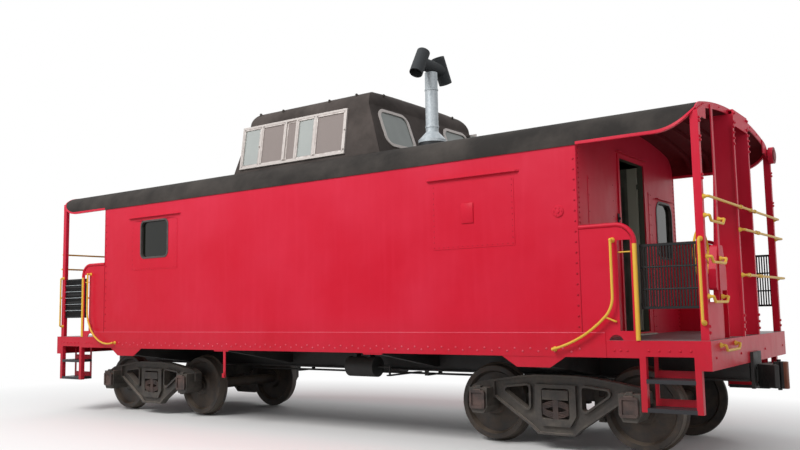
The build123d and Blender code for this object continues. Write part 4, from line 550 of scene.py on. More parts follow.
def soft_box(bm, low, high, edge=0.004):
    """A box between two corners, its edges rounded a little."""
    low, high = Vector(low), Vector(high)
    made = bmesh.ops.create_cube(bm, size=1.0)["verts"]
    span = Matrix.Diagonal((*(high - low), 1))
    bmesh.ops.transform(bm, matrix=Matrix.Translation((low + high) / 2) @ span, verts=made)
    edges = list(dict.fromkeys(e for v in made for e in v.link_edges))
    width = min(edge, 0.4 * min(high - low))
    bmesh.ops.bevel(bm, geom=edges, offset=width, segments=2, profile=0.5, affect="EDGES")


def bar(bm, points, radius, sides=12):
    """A round bar with closed ends along a list of points."""
    points = [Vector(p) for p in points]
    loops = []
    side = None
    for n, point in enumerate(points):
        ahead = (points[min(n + 1, len(points) - 1)] - points[max(n - 1, 0)]).normalized()
        if side is None:
            side = ahead.orthogonal().normalized()
        side = (side - ahead * side.dot(ahead)).normalized()
        other = ahead.cross(side)
        loop = []
        for k in range(sides):
            turn = 2 * pi * k / sides
            loop.append(bm.verts.new(point + radius * (cos(turn) * side + sin(turn) * other)))
        loops.append(loop)
    for first, second in zip(loops, loops[1:]):
        for k in range(sides):
            after = (k + 1) % sides
            bm.faces.new((first[k], first[after], second[after], second[k]))
    bm.faces.new(reversed(loops[0]))
    bm.faces.new(loops[-1])


print("helpers: soft_box, bar")

# %% [markdown]
# What a lathe would make, such as a foot, a cap or a clamp, is an outline turned about an
# axis. Where the outline meets the axis, the faces are triangles that close the end.

# %% Turned shapes


def turned_shape(bm, profile, centre, axis, sides=32):
    """A closed shape turned about an axis through a centre. The profile is a list of
    radius and distance along the axis, and starts and ends on the axis or joins up."""
    turn = Vector(UP).rotation_difference(Vector(axis)).to_matrix().to_4x4()
    place = Matrix.Translation(centre) @ turn
    loops = []
    for radius, along in profile:
        if radius < 1e-6:
            loops.append([bm.verts.new(place @ Vector((0, 0, along)))])
            continue
        loop = []
        for k in range(sides):
            angle = 2 * pi * k / sides
            spot = Vector((radius * cos(angle), radius * sin(angle), along))
            loop.append(bm.verts.new(place @ spot))
        loops.append(loop)
    pairs = list(zip(loops, loops[1:]))
    if len(loops[0]) > 1:
        pairs.append((loops[-1], loops[0]))
    for a, b in pairs:
        for k in range(sides):
            after = k + 1
            corners = [a[k % len(a)], a[after % len(a)], b[after % len(b)], b[k % len(b)]]
            distinct = list(dict.fromkeys(corners))
            if len(distinct) > 2:
                bm.faces.new(distinct)


print("helper: turned_shape")

# %% [markdown]
# A plate with a rounded window in it is a flat ring between two rounded outlines. They have
# as many points each, so the points pair up, and the faces between them need no cutting.

# %% Rings


def rounded(width, height, radius, steps=6):
    """The points of a rounded rectangle about the origin, in order."""
    points = []
    for n, (x, y) in enumerate(((1, 1), (-1, 1), (-1, -1), (1, -1))):
        middle = Vector((x * (width / 2 - radius), y * (height / 2 - radius)))
        for k in range(steps + 1):
            turn = pi / 2 * (n + k / steps)
            points.append(middle + radius * Vector((cos(turn), sin(turn))))
    return points


def ring(bm, centre, along, up, outer, inner, depth, lift=0.0):
    """A flat ring between two rounded outlines, on the plane that along and up span, and
    from one depth to another out of it. An outline is a width, a height and a radius, and
    the inner one can be lifted off the middle."""
    centre, along, up = Vector(centre), Vector(along), Vector(up)
    out = along.cross(up)
    back, front = depth
    loops = []
    for outline, rise, at in ((outer, 0, back), (outer, 0, front), (inner, lift, front),
                              (inner, lift, back)):
        places = [centre + along * p.x + up * (p.y + rise) + out * at for p in rounded(*outline)]
        loops.append([bm.verts.new(place) for place in places])
    for first, second in zip(loops, loops[1:] + loops[:1]):
        for k in range(len(first)):
            after = (k + 1) % len(first)
            bm.faces.new((first[k], first[after], second[after], second[k]))


print("helpers: rounded, ring")

# %% [markdown]
# A piece is built once and set down at each of its places, all in one mesh. A mirrored copy
# comes out inside out, so its faces are turned back. The object itself stays at the origin,
# like those of the model, so that a pattern in metres lies on it as it does on them.

# %% Make a piece


def piece(name, build, finish, body="body", places=(HERE,), smooth=True):
    """Builds a shape once, sets it down at its places and makes it ride on a body."""
    once = bmesh.new()
    build(once)
    bmesh.ops.recalc_face_normals(once, faces=once.faces)
    mesh = bpy.data.meshes.new(name)
    once.to_mesh(mesh)
    once.free()
    whole = bmesh.new()
    for place in places:
        part = mesh.copy()
        part.transform(place)
        if place.determinant() < 0:
            part.flip_normals()
        whole.from_mesh(part)
        bpy.data.meshes.remove(part)
    whole.to_mesh(mesh)
    whole.free()
    if smooth:
        mesh.shade_smooth()
        mesh.set_sharp_from_angle(angle=radians(35))
    made = bpy.data.objects.new(name, mesh)
    bpy.context.scene.collection.objects.link(made)
    mesh.materials.append(finish)
    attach(made, body)
    print(name, len(mesh.polygons), "faces")
    return made


print("helper: piece")

# %% [markdown]
# Rivets and bolts are the car's texture: button heads in rows, a few fingers apart. They
# repeat, so a Geometry Nodes tree sets one head on each point of a row. The points carry a
# direction, and the tree turns each head to it. One tree makes domed rivets and another
# six-sided bolt heads; both take their sizes as named inputs.

# %% Fastener trees


def fastener_tree(name, domed):
    """A tree that sets a head on every point, turned to the point's facing."""
    tree = bpy.data.node_groups.new(name, "GeometryNodeTree")
    tree.interface.new_socket("Points", in_out="INPUT", socket_type="NodeSocketGeometry")
    for label in ("Diameter", "Height"):
        tree.interface.new_socket(label, in_out="INPUT", socket_type="NodeSocketFloat")
    tree.interface.new_socket("Finish", in_out="INPUT", socket_type="NodeSocketMaterial")
    tree.interface.new_socket("Heads", in_out="OUTPUT", socket_type="NodeSocketGeometry")
    entry = add(tree, "NodeGroupInput")
    half = {0: entry.outputs["Diameter"], 1: 0.5}
    radius = add(tree, "ShaderNodeMath", half, operation="MULTIPLY").outputs[0]
    if domed:
        shape = {"Segments": 8, "Rings": 5, "Radius": 1.0}
        head = add(tree, "GeometryNodeMeshUVSphere", shape).outputs["Mesh"]
    else:
        shape = {"Vertices": 6, "Radius Top": 0.88, "Radius Bottom": 1.0, "Depth": 1.0}
        head = add(tree, "GeometryNodeMeshCone", shape).outputs["Mesh"]
    size = {"X": radius, "Y": radius, "Z": entry.outputs["Height"]}
    scaled = {"Geometry": head, "Scale": add(tree, "ShaderNodeCombineXYZ", size).outputs[0]}
    head = add(tree, "GeometryNodeTransform", scaled).outputs[0]
    way = {"Name": "facing"}
    facing = add(tree, "GeometryNodeInputNamedAttribute", way, data_type="FLOAT_VECTOR")
    way = {"Vector": facing.outputs["Attribute"]}
    turn = add(tree, "FunctionNodeAlignRotationToVector", way, axis="Z")
    ready = {"Points": entry.outputs["Points"], "Instance": head, "Rotation": turn.outputs[0]}
    heads = add(tree, "GeometryNodeInstanceOnPoints", ready).outputs[0]
    heads = add(tree, "GeometryNodeRealizeInstances", {"Geometry": heads}).outputs[0]
    shading = {"Geometry": heads, "Shade Smooth": domed}
    heads = add(tree, "GeometryNodeSetShadeSmooth", shading).outputs[0]
    painted = {"Geometry": heads, "Material": entry.outputs["Finish"]}
    heads = add(tree, "GeometryNodeSetMaterial", painted).outputs[0]
    add(tree, "NodeGroupOutput", {"Heads": heads})
    return tree


RIVET_TREE = fastener_tree("rivet_heads", True)
BOLT_TREE = fastener_tree("bolt_heads", False)
print("trees:", RIVET_TREE.name, BOLT_TREE.name)

# %% [markdown]
# A row is a list of points with a facing each. The pitch gives only about how far apart
# they are: a real row starts and ends at fixed places and shares out what lies between.
# The tree runs once on the points, and its result is kept as a plain mesh.

# %% Rows of fasteners


def row(start, end, pitch, facing):
    """Points from one place to another, spaced as near a pitch as fits, and a facing."""
    start, end = Vector(start), Vector(end)
    count = max(1, round((end - start).length / pitch))
    return [(start.lerp(end, n / count), Vector(facing)) for n in range(count + 1)]


def fasteners(name, tree, points, diameter, height, finish, body="body", places=(HERE,)):
    """Heads on all the points, at all the places, as one plain mesh."""
    mesh = bpy.data.meshes.new(name + "_points")
    spots = []
    ways = []
    for place in places:
        turn = place.to_3x3()
        spots += [place @ point for point, facing in points]
        ways += [turn @ facing for point, facing in points]
    mesh.from_pydata(spots, [], [])
    facing = mesh.attributes.new("facing", "FLOAT_VECTOR", "POINT")
    facing.data.foreach_set("vector", [value for way in ways for value in way])
    source = bpy.data.objects.new(name + "_points", mesh)
    bpy.context.scene.collection.objects.link(source)
    modifier = source.modifiers.new("heads", "NODES")
    modifier.node_group = tree
    wanted = {"Diameter": diameter, "Height": height, "Finish": finish}
    for item in tree.interface.items_tree:
        if item.in_out == "INPUT" and item.name in wanted:
            modifier[item.identifier] = wanted[item.name]
    ready = source.evaluated_get(bpy.context.evaluated_depsgraph_get())
    heads = bpy.data.meshes.new_from_object(ready)
    source.modifiers.remove(modifier)
    bpy.data.objects.remove(source)
    heads.name = name
    made = bpy.data.objects.new(name, heads)
    bpy.context.scene.collection.objects.link(made)
    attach(made, body)
    print(name, len(spots), "heads")
    return made


# %% [markdown]
# Riveting follows the frame behind the sheet. On each side two staggered rows run along the
# sill band and one goes up each end of the wall; each end wall has closer rows where its
# corner angles are. The sill's rivets have a paler red, a painted highlight, and those of the
# corners a darker red, painted shade round each head, so the two have different reds.

# %% Rivets of the body
BAND_FACE = SIDE_FACE - 0.005
BAND_TOP = BASE + 1.223
SILL_ROW = BASE + 1.066
LOWER_ROW = SILL_ROW - 0.03
CORNER_INSET = 0.035
PITCH = 0.104
BAND_PITCH = 0.178
CORNER_PITCH = 0.05
RIVET, RIVET_HEIGHT = 0.024, 0.008

edge = BODY_END - CORNER_INSET
upper = row((-edge, BAND_FACE, SILL_ROW), (edge, BAND_FACE, SILL_ROW), BAND_PITCH, OUT_SIDE)
edge -= BAND_PITCH / 2
lower = row((-edge, BAND_FACE, LOWER_ROW), (edge, BAND_FACE, LOWER_ROW), BAND_PITCH, OUT_SIDE)
fasteners("sill_rivets", RIVET_TREE, upper + lower, RIVET, RIVET_HEIGHT, HIGHLIGHT_RED, places=BOTH_ENDS)

side_rows = []
for x in (CORNER_INSET - BODY_END, BODY_END - CORNER_INSET):
    side_rows += row((x, SIDE_FACE, BASE + 1.28), (x, SIDE_FACE, EAVE - 0.14), PITCH, OUT_SIDE)
fasteners("side_rivets", RIVET_TREE, side_rows, RIVET, RIVET_HEIGHT, SHADED_RED, places=BOTH_ENDS)

end_rows = []
for y in (CORNER_INSET - HALF, HALF - CORNER_INSET):
    end_rows += row((BODY_END, y, DECK + 0.06), (BODY_END, y, EAVE - 0.03), CORNER_PITCH, OUT_END)
fasteners("end_wall_rivets", RIVET_TREE, end_rows, RIVET, RIVET_HEIGHT, SHADED_RED, places=BOTH_ENDS)

# %% [markdown]
# Thin edges break up the flat sheets of the sides. A lapped band runs along the foot, and
# its top edge is a bead in the paler red, a painted highlight. The open window sits in a
# plate as large as the plated one, which is a ring here.

# %% Laps and surrounds
BEHIND = 0.001  # how far a plate's back goes into the sheet it lies on
BAND_HALF = 4.135  # half of the lapped band's length
WINDOW_X = -2.717
WINDOW_MIDDLE = BASE + 2.5765
WINDOW_HOLE = (0.64, 0.575, 0.09)
SURROUND_MIDDLE = BASE + 2.49
SURROUND_SHEET = (1.03, 0.72, 0.012)
SURROUND_PROUD = 0.003


def band_edge(bm):
    """The rounded top edge of the lapped band, in the paler red of a painted highlight."""
    y = BAND_FACE + 0.003
    bar(bm, [(-BAND_HALF, y, BAND_TOP), (BAND_HALF, y, BAND_TOP)], 0.005, 8)


def surround(bm):
    """The plate round the open window."""
    middle = (WINDOW_X, SIDE_FACE, SURROUND_MIDDLE)
    ring(bm, middle, FORWARD, UP, SURROUND_SHEET, WINDOW_HOLE, (-BEHIND, SURROUND_PROUD),
         lift=WINDOW_MIDDLE - SURROUND_MIDDLE)


piece("band_edges", band_edge, HIGHLIGHT_RED, places=BOTH_ENDS)
piece("window_surrounds", surround, RED, places=BOTH_ENDS, smooth=False)

# %% [markdown]
# On the end wall an access panel and a riveted strip stand a few millimetres proud, and a
# black hasp hangs beside the doorway. A red strap hangs under the side sill. Each is a few
# soft boxes, so a table of their faces says all about them. The corner itself is rolled, so
# it shows as a fine bead, in the darker red of painted shade along the corner.

# %% Plates, hasps, straps and beads
STRIP_Y = (0.53, 0.62)
STRIP_TOP = BASE + 2.83
STRIP_FACE = BODY_END + 0.005
PANEL_Y = (-1.25, -0.56)
PANEL_TOP = BASE + 2.82
PANEL_FACE = BODY_END + 0.004
END_PLATES = (
    # places across the car, outer face, top
    (PANEL_Y, PANEL_FACE, PANEL_TOP),
    (STRIP_Y, STRIP_FACE, STRIP_TOP),
)
STRAP_X = (-1.245, -1.2)
STRAP = (
    # how far out and in from the side, lowest, highest: the upright, the foot and its tip
    (0.002, 0.012, BASE + 0.62, BASE + 1.0),
    (-0.012, 0.01, BASE + 0.62, BASE + 0.635),
    (-0.02, -0.01, BASE + 0.622, BASE + 0.68),
)
HASP = (
    # places across the car, lowest, highest, how far it stands out, and its edge
    (-0.468, -0.428, BASE + 2.375, BASE + 2.49, 0.012, 0.012),
    (-0.462, -0.434, BASE + 2.42, BASE + 2.45, 0.03, 0.006),
)


def end_plates(bm):
    """The access panel left of the doorway and the strip right of it."""
    for (left, right), face, top in END_PLATES:
        soft_box(bm, (BODY_END - BEHIND, left, DECK + 0.02), (face, right, top), 0.002)


def hasps(bm):
    """The hasp and its staple."""
    for left, right, foot, top, out, edge in HASP:
        soft_box(bm, (BODY_END, left, foot), (BODY_END + out, right, top), edge)


def hangers(bm):
    """The red strap under the side sill, turned up at its foot."""
    left, right = STRAP_X
    for out, back, foot, top in STRAP:
        soft_box(bm, (left, SIDE_FACE + out, foot), (right, SIDE_FACE + back, top), 0.003)


def corner_beads(bm):
    """The rolled edge where a side meets an end, in the darker red of painted shade."""
    x, y = BODY_END - 0.004, SIDE_FACE + 0.001
    bar(bm, [(x, y, BAND_TOP), (x, y, EAVE)], 0.006, 8)


piece("end_wall_plates", end_plates, RED, places=BOTH_ENDS, smooth=False)
piece("door_hasps", hasps, BLACK, places=BOTH_ENDS)
piece("sill_hangers", hangers, RED, places=BOTH_ENDS)
piece("corner_beads", corner_beads, SHADED_RED, places=FOUR_CORNERS)

# %% [markdown]
# The panels' own rivets are about half as large as the body's, because they hold thin
# sheet and not the frame. They sit in a row close to each edge, in the darker red of
# painted shade round each head.

# %% Rivets of the panels
SMALL_PITCH = 0.068

foot, head = DECK + 0.08, STRIP_TOP - 0.03
plate_rows = []
for y in (STRIP_Y[0] + 0.018, STRIP_Y[1] - 0.018):
    plate_rows += row((STRIP_FACE, y, foot), (STRIP_FACE, y, head), 0.12, OUT_END)
foot, head = DECK + 0.1, PANEL_TOP - 0.03
for y in (PANEL_Y[0] + 0.02, PANEL_Y[1] - 0.02):
    plate_rows += row((PANEL_FACE, y, foot), (PANEL_FACE, y, head), 0.17, OUT_END)
fasteners("end_plate_rivets", RIVET_TREE, plate_rows, 0.015, 0.005, SHADED_RED, places=BOTH_ENDS)

surround_rows = []
face = SIDE_FACE - SURROUND_PROUD
foot, head = SURROUND_MIDDLE - 0.34, SURROUND_MIDDLE + 0.34
for x in (WINDOW_X - 0.495, WINDOW_X + 0.495):
    surround_rows += row((x, face, foot), (x, face, head), SMALL_PITCH, OUT_SIDE)
left, right = WINDOW_X - 0.43, WINDOW_X + 0.43
surround_rows += row((left, face, foot), (right, face, foot), SMALL_PITCH, OUT_SIDE)
fasteners("surround_rivets", RIVET_TREE, surround_rows, 0.013, 0.004, SHADED_RED, places=BOTH_ENDS)

# %% [markdown]
# The plated-over window on each side keeps its outline: a sheet a few millimetres proud,
# riveted round three of its edges, with a small cover in its middle. The sheet is in the
# model, so only its rivets and the cover are made here. A bolted round cap closes a hole
# near the corner.

# %% Plated window and caps
PLATE_X = 2.676
PLATE_HALF = 0.515
PLATE_LOW = BASE + 2.13
PLATE_HIGH = PLATE_LOW + 0.72
PLATE_FACE = SIDE_FACE - 0.004
PLATE_PITCH = 0.062
INSET = 0.022
CAP_X, CAP_Z = 3.69, BASE + 2.44
CAP_PROFILE = [(0, 0.014), (0.055, 0.012), (0.062, 0.004), (0.062, -0.002), (0, -0.002)]
BOSS_PROFILE = [(0, 0.024), (0.018, 0.022), (0.022, 0.01), (0, 0.01)]
BOLT_CIRCLE = 0.042

plated_rows = []
left, right = PLATE_X - PLATE_HALF + INSET, PLATE_X + PLATE_HALF - INSET
foot, head = PLATE_LOW + INSET, PLATE_HIGH - INSET
plated_rows += row((left, PLATE_FACE, foot), (right, PLATE_FACE, foot), PLATE_PITCH, OUT_SIDE)
for x in (left, right):
    low = (x, PLATE_FACE, foot + 0.06)
    plated_rows += row(low, (x, PLATE_FACE, head), PLATE_PITCH, OUT_SIDE)
# The heads have the darker red of painted shade.
fasteners("plated_window_rivets", RIVET_TREE, plated_rows, 0.014, 0.0045, SHADED_RED,
          places=BOTH_ENDS)


def covers(bm):
    """The small cover plate and the round cap with its boss."""
    low = (PLATE_X - 0.13, SIDE_FACE - 0.016, BASE + 2.40)
    soft_box(bm, low, (PLATE_X + 0.02, SIDE_FACE - 0.002, BASE + 2.62), 0.005)
    cap = (CAP_X, SIDE_FACE, CAP_Z)
    turned_shape(bm, CAP_PROFILE, cap, OUT_SIDE, 24)
    turned_shape(bm, BOSS_PROFILE, cap, OUT_SIDE, 12)


piece("side_covers", covers, RED, places=BOTH_ENDS)
cap_bolts = []
for n in range(6):
    turn = n * pi / 3
    spot = (CAP_X + BOLT_CIRCLE * cos(turn), SIDE_FACE - 0.012, CAP_Z + BOLT_CIRCLE * sin(turn))
    cap_bolts.append((Vector(spot), Vector(OUT_SIDE)))
fasteners("cap_bolts", BOLT_TREE, cap_bolts, 0.012, 0.008, RED, places=BOTH_ENDS)

# %% [markdown]
# The platforms are bolted and riveted together: a few large heads along the side fascia and
# on the end sill, and bolts where the posts meet the sill, the roof and their header. The
# red plate at the roof's end is arched, so its rivets drop towards the sides.

# %% Rivets and bolts of the ends
FASCIA_ROW = BASE + 1.055
FASCIA_ROWS = (
    # start, end, pitch
    (4.224, 4.35, 0.063),
    (4.558, 4.949, 0.098),
)
SILL_HEADS_Y = (-1.36, -0.5, 0.5, 1.36)
FLANGE_BOLTS = ((DECK + 0.07, DECK + 0.21, 0.07), (BASE + 3.13, BASE + 3.31, 0.06))
HEADER_BOLTS = (BASE + 3.365, BASE + 3.465)
GUSSET_BOLTS = (BASE + 2.64, BASE + 3.0, BASE + 3.18)
TRIM_HEADS_Y = (-1.22, -0.92, -0.62, -0.32, 0.32, 0.62, 0.92, 1.22)
ARCH_HALF, ARCH_DROP = 1.222, 0.11

platform_rows = []
for start, end, pitch in FASCIA_ROWS:
    for y, facing in ((-HALF, OUT_SIDE), (HALF, (0, 1, 0))):
        platform_rows += row((start, y, FASCIA_ROW), (end, y, FASCIA_ROW), pitch, facing)
for y in SILL_HEADS_Y:
    platform_rows.append((Vector((SILL_END, y, BASE + 0.99)), Vector(OUT_END)))
fasteners("platform_rivets", RIVET_TREE, platform_rows, 0.026, 0.01, RED, places=BOTH_ENDS)

post_bolts = []
for y in (-FLANGE_Y, FLANGE_Y):
    for foot, head, pitch in FLANGE_BOLTS:
        post_bolts += row((SILL_END, y, foot), (SILL_END, y, head), pitch, OUT_END)
    for z in HEADER_BOLTS:
        post_bolts += row((SILL_END, y * 0.8, z), (SILL_END, y * 0.93, z), 0.04, OUT_END)
for y in (-POST_Y, POST_Y):
    post_bolts += row((POST_FACE, y, DECK + 0.07), (POST_FACE, y, DECK + 0.13), 0.06, OUT_END)
    for z in GUSSET_BOLTS:
        post_bolts += row((POST_FACE, y, z), (POST_FACE, y, z + 0.035), 0.035, OUT_END)
fasteners("post_bolts", BOLT_TREE, post_bolts, 0.028, 0.014, RED, places=BOTH_ENDS)

trim_rows = []
for y in TRIM_HEADS_Y:
    drop = (y / ARCH_HALF) ** 2 * ARCH_DROP
    trim_rows.append((Vector((ROOF_END, y, RIDGE - 0.028 - drop)), Vector(OUT_END)))
fasteners("roof_band_rivets", RIVET_TREE, trim_rows, 0.02, 0.008, RED, places=BOTH_ENDS)

# %% [markdown]
# The cupola's side leans in, by 90 mm over its height. What stands on it is made in its own
# directions: how far along the car, up the slope and out of it a point lies. One function
# turns those into a place, and another makes a box between such places.

# %% The cupola's leaning side
SLOPE_FOOT = (-1.29, BASE + 3.42)
LEAN = (0.09, 0.627)
SLOPE_LENGTH = (LEAN[0] ** 2 + LEAN[1] ** 2) ** 0.5
SIDE_UP = Vector((0, LEAN[0], LEAN[1])) / SLOPE_LENGTH
SIDE_OUT = Vector((0, -LEAN[1], LEAN[0])) / SLOPE_LENGTH


def on_slope(x, up, out):
    """A point on the cupola's side, from its place along the car and up the slope."""
    return Vector((x, *SLOPE_FOOT)) + SIDE_UP * up + SIDE_OUT * out


def slope_box(bm, x, up, out, edge=0.002):
    """A box with softened edges that leans with the side."""
    made = bmesh.ops.create_cube(bm, size=1.0)["verts"]
    for vert in made:
        along = x[0] if vert.co.x < 0 else x[1]
        rise = up[0] if vert.co.z < 0 else up[1]
        depth = out[0] if vert.co.y < 0 else out[1]
        vert.co = on_slope(along, rise, depth)
    edges = list(dict.fromkeys(e for v in made for e in v.link_edges))
    bmesh.ops.bevel(bm, geom=edges, offset=edge, segments=1, affect="EDGES")


print("the side leans", round(LEAN[0] / LEAN[1], 3), "to one")

# %% [markdown]
# The lookout windows slide in an aluminium frame: two panes and three fly screens, one of
# which has slid behind. The outer frame is in the model; each sash, a thin inner frame with
# its own shadow, is added here with what it holds.

# %% Lookout sashes and screens
LOOK_START, LOOK_HEIGHT = 0.015, 0.6
FRAME_BAR = 0.028
LOW_UP = LOOK_START + FRAME_BAR
HIGH_UP = LOOK_START + LOOK_HEIGHT - FRAME_BAR
SASH = 0.022
CELLS = (
    # start, end, kind
    (-1.122, -0.794, "pane"),
    (-0.766, -0.349, "screen"),
    (-0.321, -0.149, "screen_behind"),
    (-0.121, 0.181, "pane"),
    (0.209, 0.689, "screen"),
)
SASH_DEPTH = {"pane": (0.002, 0.02), "screen": (0.002, 0.02), "screen_behind": (-0.003, 0.005)}
FILL_DEPTH = {"pane": (0.004, 0.008), "screen": (0.006, 0.010), "screen_behind": (-0.003, 0.001)}
LATCHES = ((-0.80, 0.3), (-0.335, 0.06), (0.195, 0.06), (0.70, 0.075), (0.70, 0.33))
LATCH_PROFILE = [(0, 0.02), (0.009, 0.018), (0.011, 0), (0, 0)]


def sashes(bm):
    """The four thin bars of every sash."""
    for start, end, kind in CELLS:
        for across in ((start, start + SASH), (end - SASH, end)):
            slope_box(bm, across, (LOW_UP, HIGH_UP), SASH_DEPTH[kind])
        for rise in ((LOW_UP, LOW_UP + SASH), (HIGH_UP - SASH, HIGH_UP)):
            slope_box(bm, (start, end), rise, SASH_DEPTH[kind])


def fill(bm, kinds, edge):
    """What the sashes of some kinds hold, let into the middle of their bars."""
    for start, end, kind in CELLS:
        if kind in kinds:
            inner = (start + SASH / 2, end - SASH / 2)
            slope_box(bm, inner, (LOW_UP + SASH / 2, HIGH_UP - SASH / 2), FILL_DEPTH[kind], edge)


def screens(bm):
    """The fly screens, those in front and the one behind."""
    fill(bm, ("screen", "screen_behind"), 0.0005)


def sky_panes(bm):
    """The glass, which leans back and shows the sky, partly as a painted reflection."""
    fill(bm, ("pane",), 0.002)


def latches(bm):
    """The round latches and stops on the sashes' stiles."""
    for x, up in LATCHES:
        turned_shape(bm, LATCH_PROFILE, on_slope(x, up, 0.024), SIDE_OUT, 12)


piece("lookout_sashes", sashes, ALUMINIUM, places=BOTH_ENDS)
piece("lookout_screens", screens, SCREEN, places=BOTH_ENDS)
piece("lookout_panes", sky_panes, PANE, places=BOTH_ENDS)
piece("lookout_latches", latches, ALUMINIUM, places=BOTH_ENDS)

# %% [markdown]
# The handrails end in round pads bolted to the steel. The rails are in the model, so each
# foot is a small turned shape where a bar meets the panel, facing out of it. Its outline
# bells out towards the steel, as a forged end does.

# %% Feet of the handrails
FOOT_PROFILE = [(0, 0.03), (0.016, 0.026), (0.022, 0.012), (0.026, 0.006), (0.026, 0), (0, 0)]
GRAB_FEET = (
    (4.248, SIDE_FACE, BASE + 2.114),
    (3.605, BAND_FACE, BASE + 1.062),
    (POST_FACE - 0.0375, -1.46, BASE + 1.31),
    (POST_FACE - 0.0375, -1.46, BASE + 2.08),
)
HANDHOLDS_Z = (BASE + 2.245, BASE + 1.865, BASE + 1.50)
PASSAGE_RAILS_Z = (BASE + 2.235, BASE + 1.77)
TOP_RAIL_Z = BASE + 2.47


def grab_feet(bm):
    """Feet of the bars beside the steps."""
    for spot in GRAB_FEET:
        turned_shape(bm, FOOT_PROFILE, spot, OUT_SIDE, 14)


def end_feet(bm):
    """Feet of the bars across the end: handholds, top rail, passage rails and stanchions."""
    spots = []
    for z in HANDHOLDS_Z:
        spots += [(POST_FACE, -POST_Y, z + 0.05), (ROOF_END + 0.012, -0.94, z + 0.05)]
    spots += [(POST_FACE, y, TOP_RAIL_Z) for y in (-POST_Y, POST_Y)]
    for z in PASSAGE_RAILS_Z:
        spots += [(SILL_END, -FLANGE_Y, z), (POST_FACE, POST_Y, z)]
    spots += [(SILL_END, y, BASE + 1.10) for y in (-1.216, -0.706)]
    for spot in spots:
        turned_shape(bm, FOOT_PROFILE, spot, OUT_END, 14)


piece("grab_feet", grab_feet, YELLOW, places=FOUR_CORNERS)
piece("end_rail_feet", end_feet, YELLOW, places=BOTH_ENDS)

# %% [markdown]
# Each gate's upright bars are in the model. Two thin level rails run through them, and one
# gate has a black plate behind its bars, with pale rods in front of it.

# %% Gate rails and plate
GATE_Y = -POST_Y
GATE_X = (4.485, 5.03)
SHEET_X = (-5.02, -4.495)


def level_bar(bm, ends, y, z, radius, sides):
    """A straight bar along the car."""
    bar(bm, [(ends[0], y, z), (ends[1], y, z)], radius, sides)


def gate_rails(bm):
    """The two thin level rails of a gate."""
    for z in (BASE + 1.84, BASE + 1.63):
        level_bar(bm, GATE_X, GATE_Y, z, 0.0085, 8)


def gate_sheet(bm):
    """The plate behind the bars of the rear near gate."""
    left, right = SHEET_X
    low = (left, GATE_Y + 0.012, BASE + 1.45)
    soft_box(bm, low, (right, GATE_Y + 0.016, BASE + 2.05), 0.001)


def sheet_stays(bm):
    """The thin pale rods in front of that plate."""
    for n in range(5):
        level_bar(bm, SHEET_X, GATE_Y - 0.018, BASE + 1.56 + 0.1 * n, 0.004, 8)


piece("gate_rails", gate_rails, BLACK, places=FOUR_CORNERS)
piece("gate_sheet", gate_sheet, BLACK)
piece("gate_sheet_stays", sheet_stays, ZINC)

# %% [markdown]
# Odds and ends that a small shape each can give: clamps on the level handrails, a stay rod
# across the slot beside each step, and the knobs along the cupola's crown.

# %% Clamps, rods and knobs
TOP_RAIL_X = POST_FACE + 0.05
PASSAGE_RAIL_X = SILL_END + 0.05
CLAMPS = (
    # place along the car, places across it, height
    (TOP_RAIL_X, (-0.29, 0.12, 0.29), TOP_RAIL_Z),
    (PASSAGE_RAIL_X, (0.2, 0.29), PASSAGE_RAILS_Z[0]),
    (PASSAGE_RAIL_X, (-0.2, 0.2, 0.29), PASSAGE_RAILS_Z[1]),
)
CLAMP_PROFILE = [(0.012, -0.022), (0.021, -0.018), (0.021, 0.018), (0.012, 0.022)]
KNOB_PROFILE = [(0, 0.036), (0.014, 0.03), (0.018, 0.014), (0.026, 0), (0, 0)]
KNOB_FACING = (0, -0.6, 0.8)
KNOBS = (
    # place on the rounded edge of the crown, and the way it faces
    ((-0.925, -1.108, BASE + 4.201), KNOB_FACING),
    ((-0.474, -1.130, BASE + 4.183), KNOB_FACING),
    ((0.342, -1.123, BASE + 4.189), KNOB_FACING),
    ((0.787, -1.114, BASE + 4.196), KNOB_FACING),
    ((0.978, -0.821, BASE + 4.216), (0.76, 0, 0.65)),
)


def clamps(bm):
    """The collars that clamp a level handrail to its stanchions."""
    for x, across, z in CLAMPS:
        for y in across:
            turned_shape(bm, CLAMP_PROFILE, (x, y, z), (0, 1, 0), 16)


def slot_rods(bm):
    """The stay rod across the slot beside the steps."""
    level_bar(bm, (4.29, 4.422), -1.49, BASE + 1.995, 0.007, 10)


def crown_knobs(bm):
    """The knobs along the cupola's crown."""
    for place, facing in KNOBS:
        turned_shape(bm, KNOB_PROFILE, place, facing, 14)


piece("rail_clamps", clamps, YELLOW, places=BOTH_ENDS)
piece("slot_rods", slot_rods, YELLOW, places=FOUR_CORNERS)
piece("crown_knobs", crown_knobs, CUPOLA_SKIN, places=BOTH_SIDES)

# %% [markdown]
# The chimney is a galvanised pipe made in lengths: a swaged bead at each of two joints and
# a storm collar at its foot. All are turned about the pipe, so they are ring profiles that
# start a few millimetres inside its wall.

# %% Chimney bands
FLUE = Vector((1.8, -0.93, 0))
FLUE_RADIUS = 0.0775
BEAD = ((-0.004, -0.02), (0.006, -0.008), (0.006, 0.008), (-0.004, 0.02))
COLLAR = ((-0.003, 0.05), (0.012, 0.04), (0.014, 0.01), (-0.003, 0.0))
BANDS = (
    # height, and the profile as distance from the pipe's wall and along it
    (3.70, BEAD),
    (4.16, BEAD),
    (3.585, COLLAR),
)


def flue_bands(bm):
    """The beads and the storm collar, round the pipe."""
    for z, outline in BANDS:
        profile = [(FLUE_RADIUS + out, along) for out, along in outline]
        turned_shape(bm, profile, FLUE + Vector((0, 0, z)), UP, 40)


piece("flue_bands", flue_bands, ZINC)

# %% [markdown]
# The camera stands where the photograph was taken from, found from the car's outlines. The
# lens is plain, so a small barrel distortion of the real one is left out. A camera looks
# along its own -Z, so the three directions of the view become the columns of its matrix.

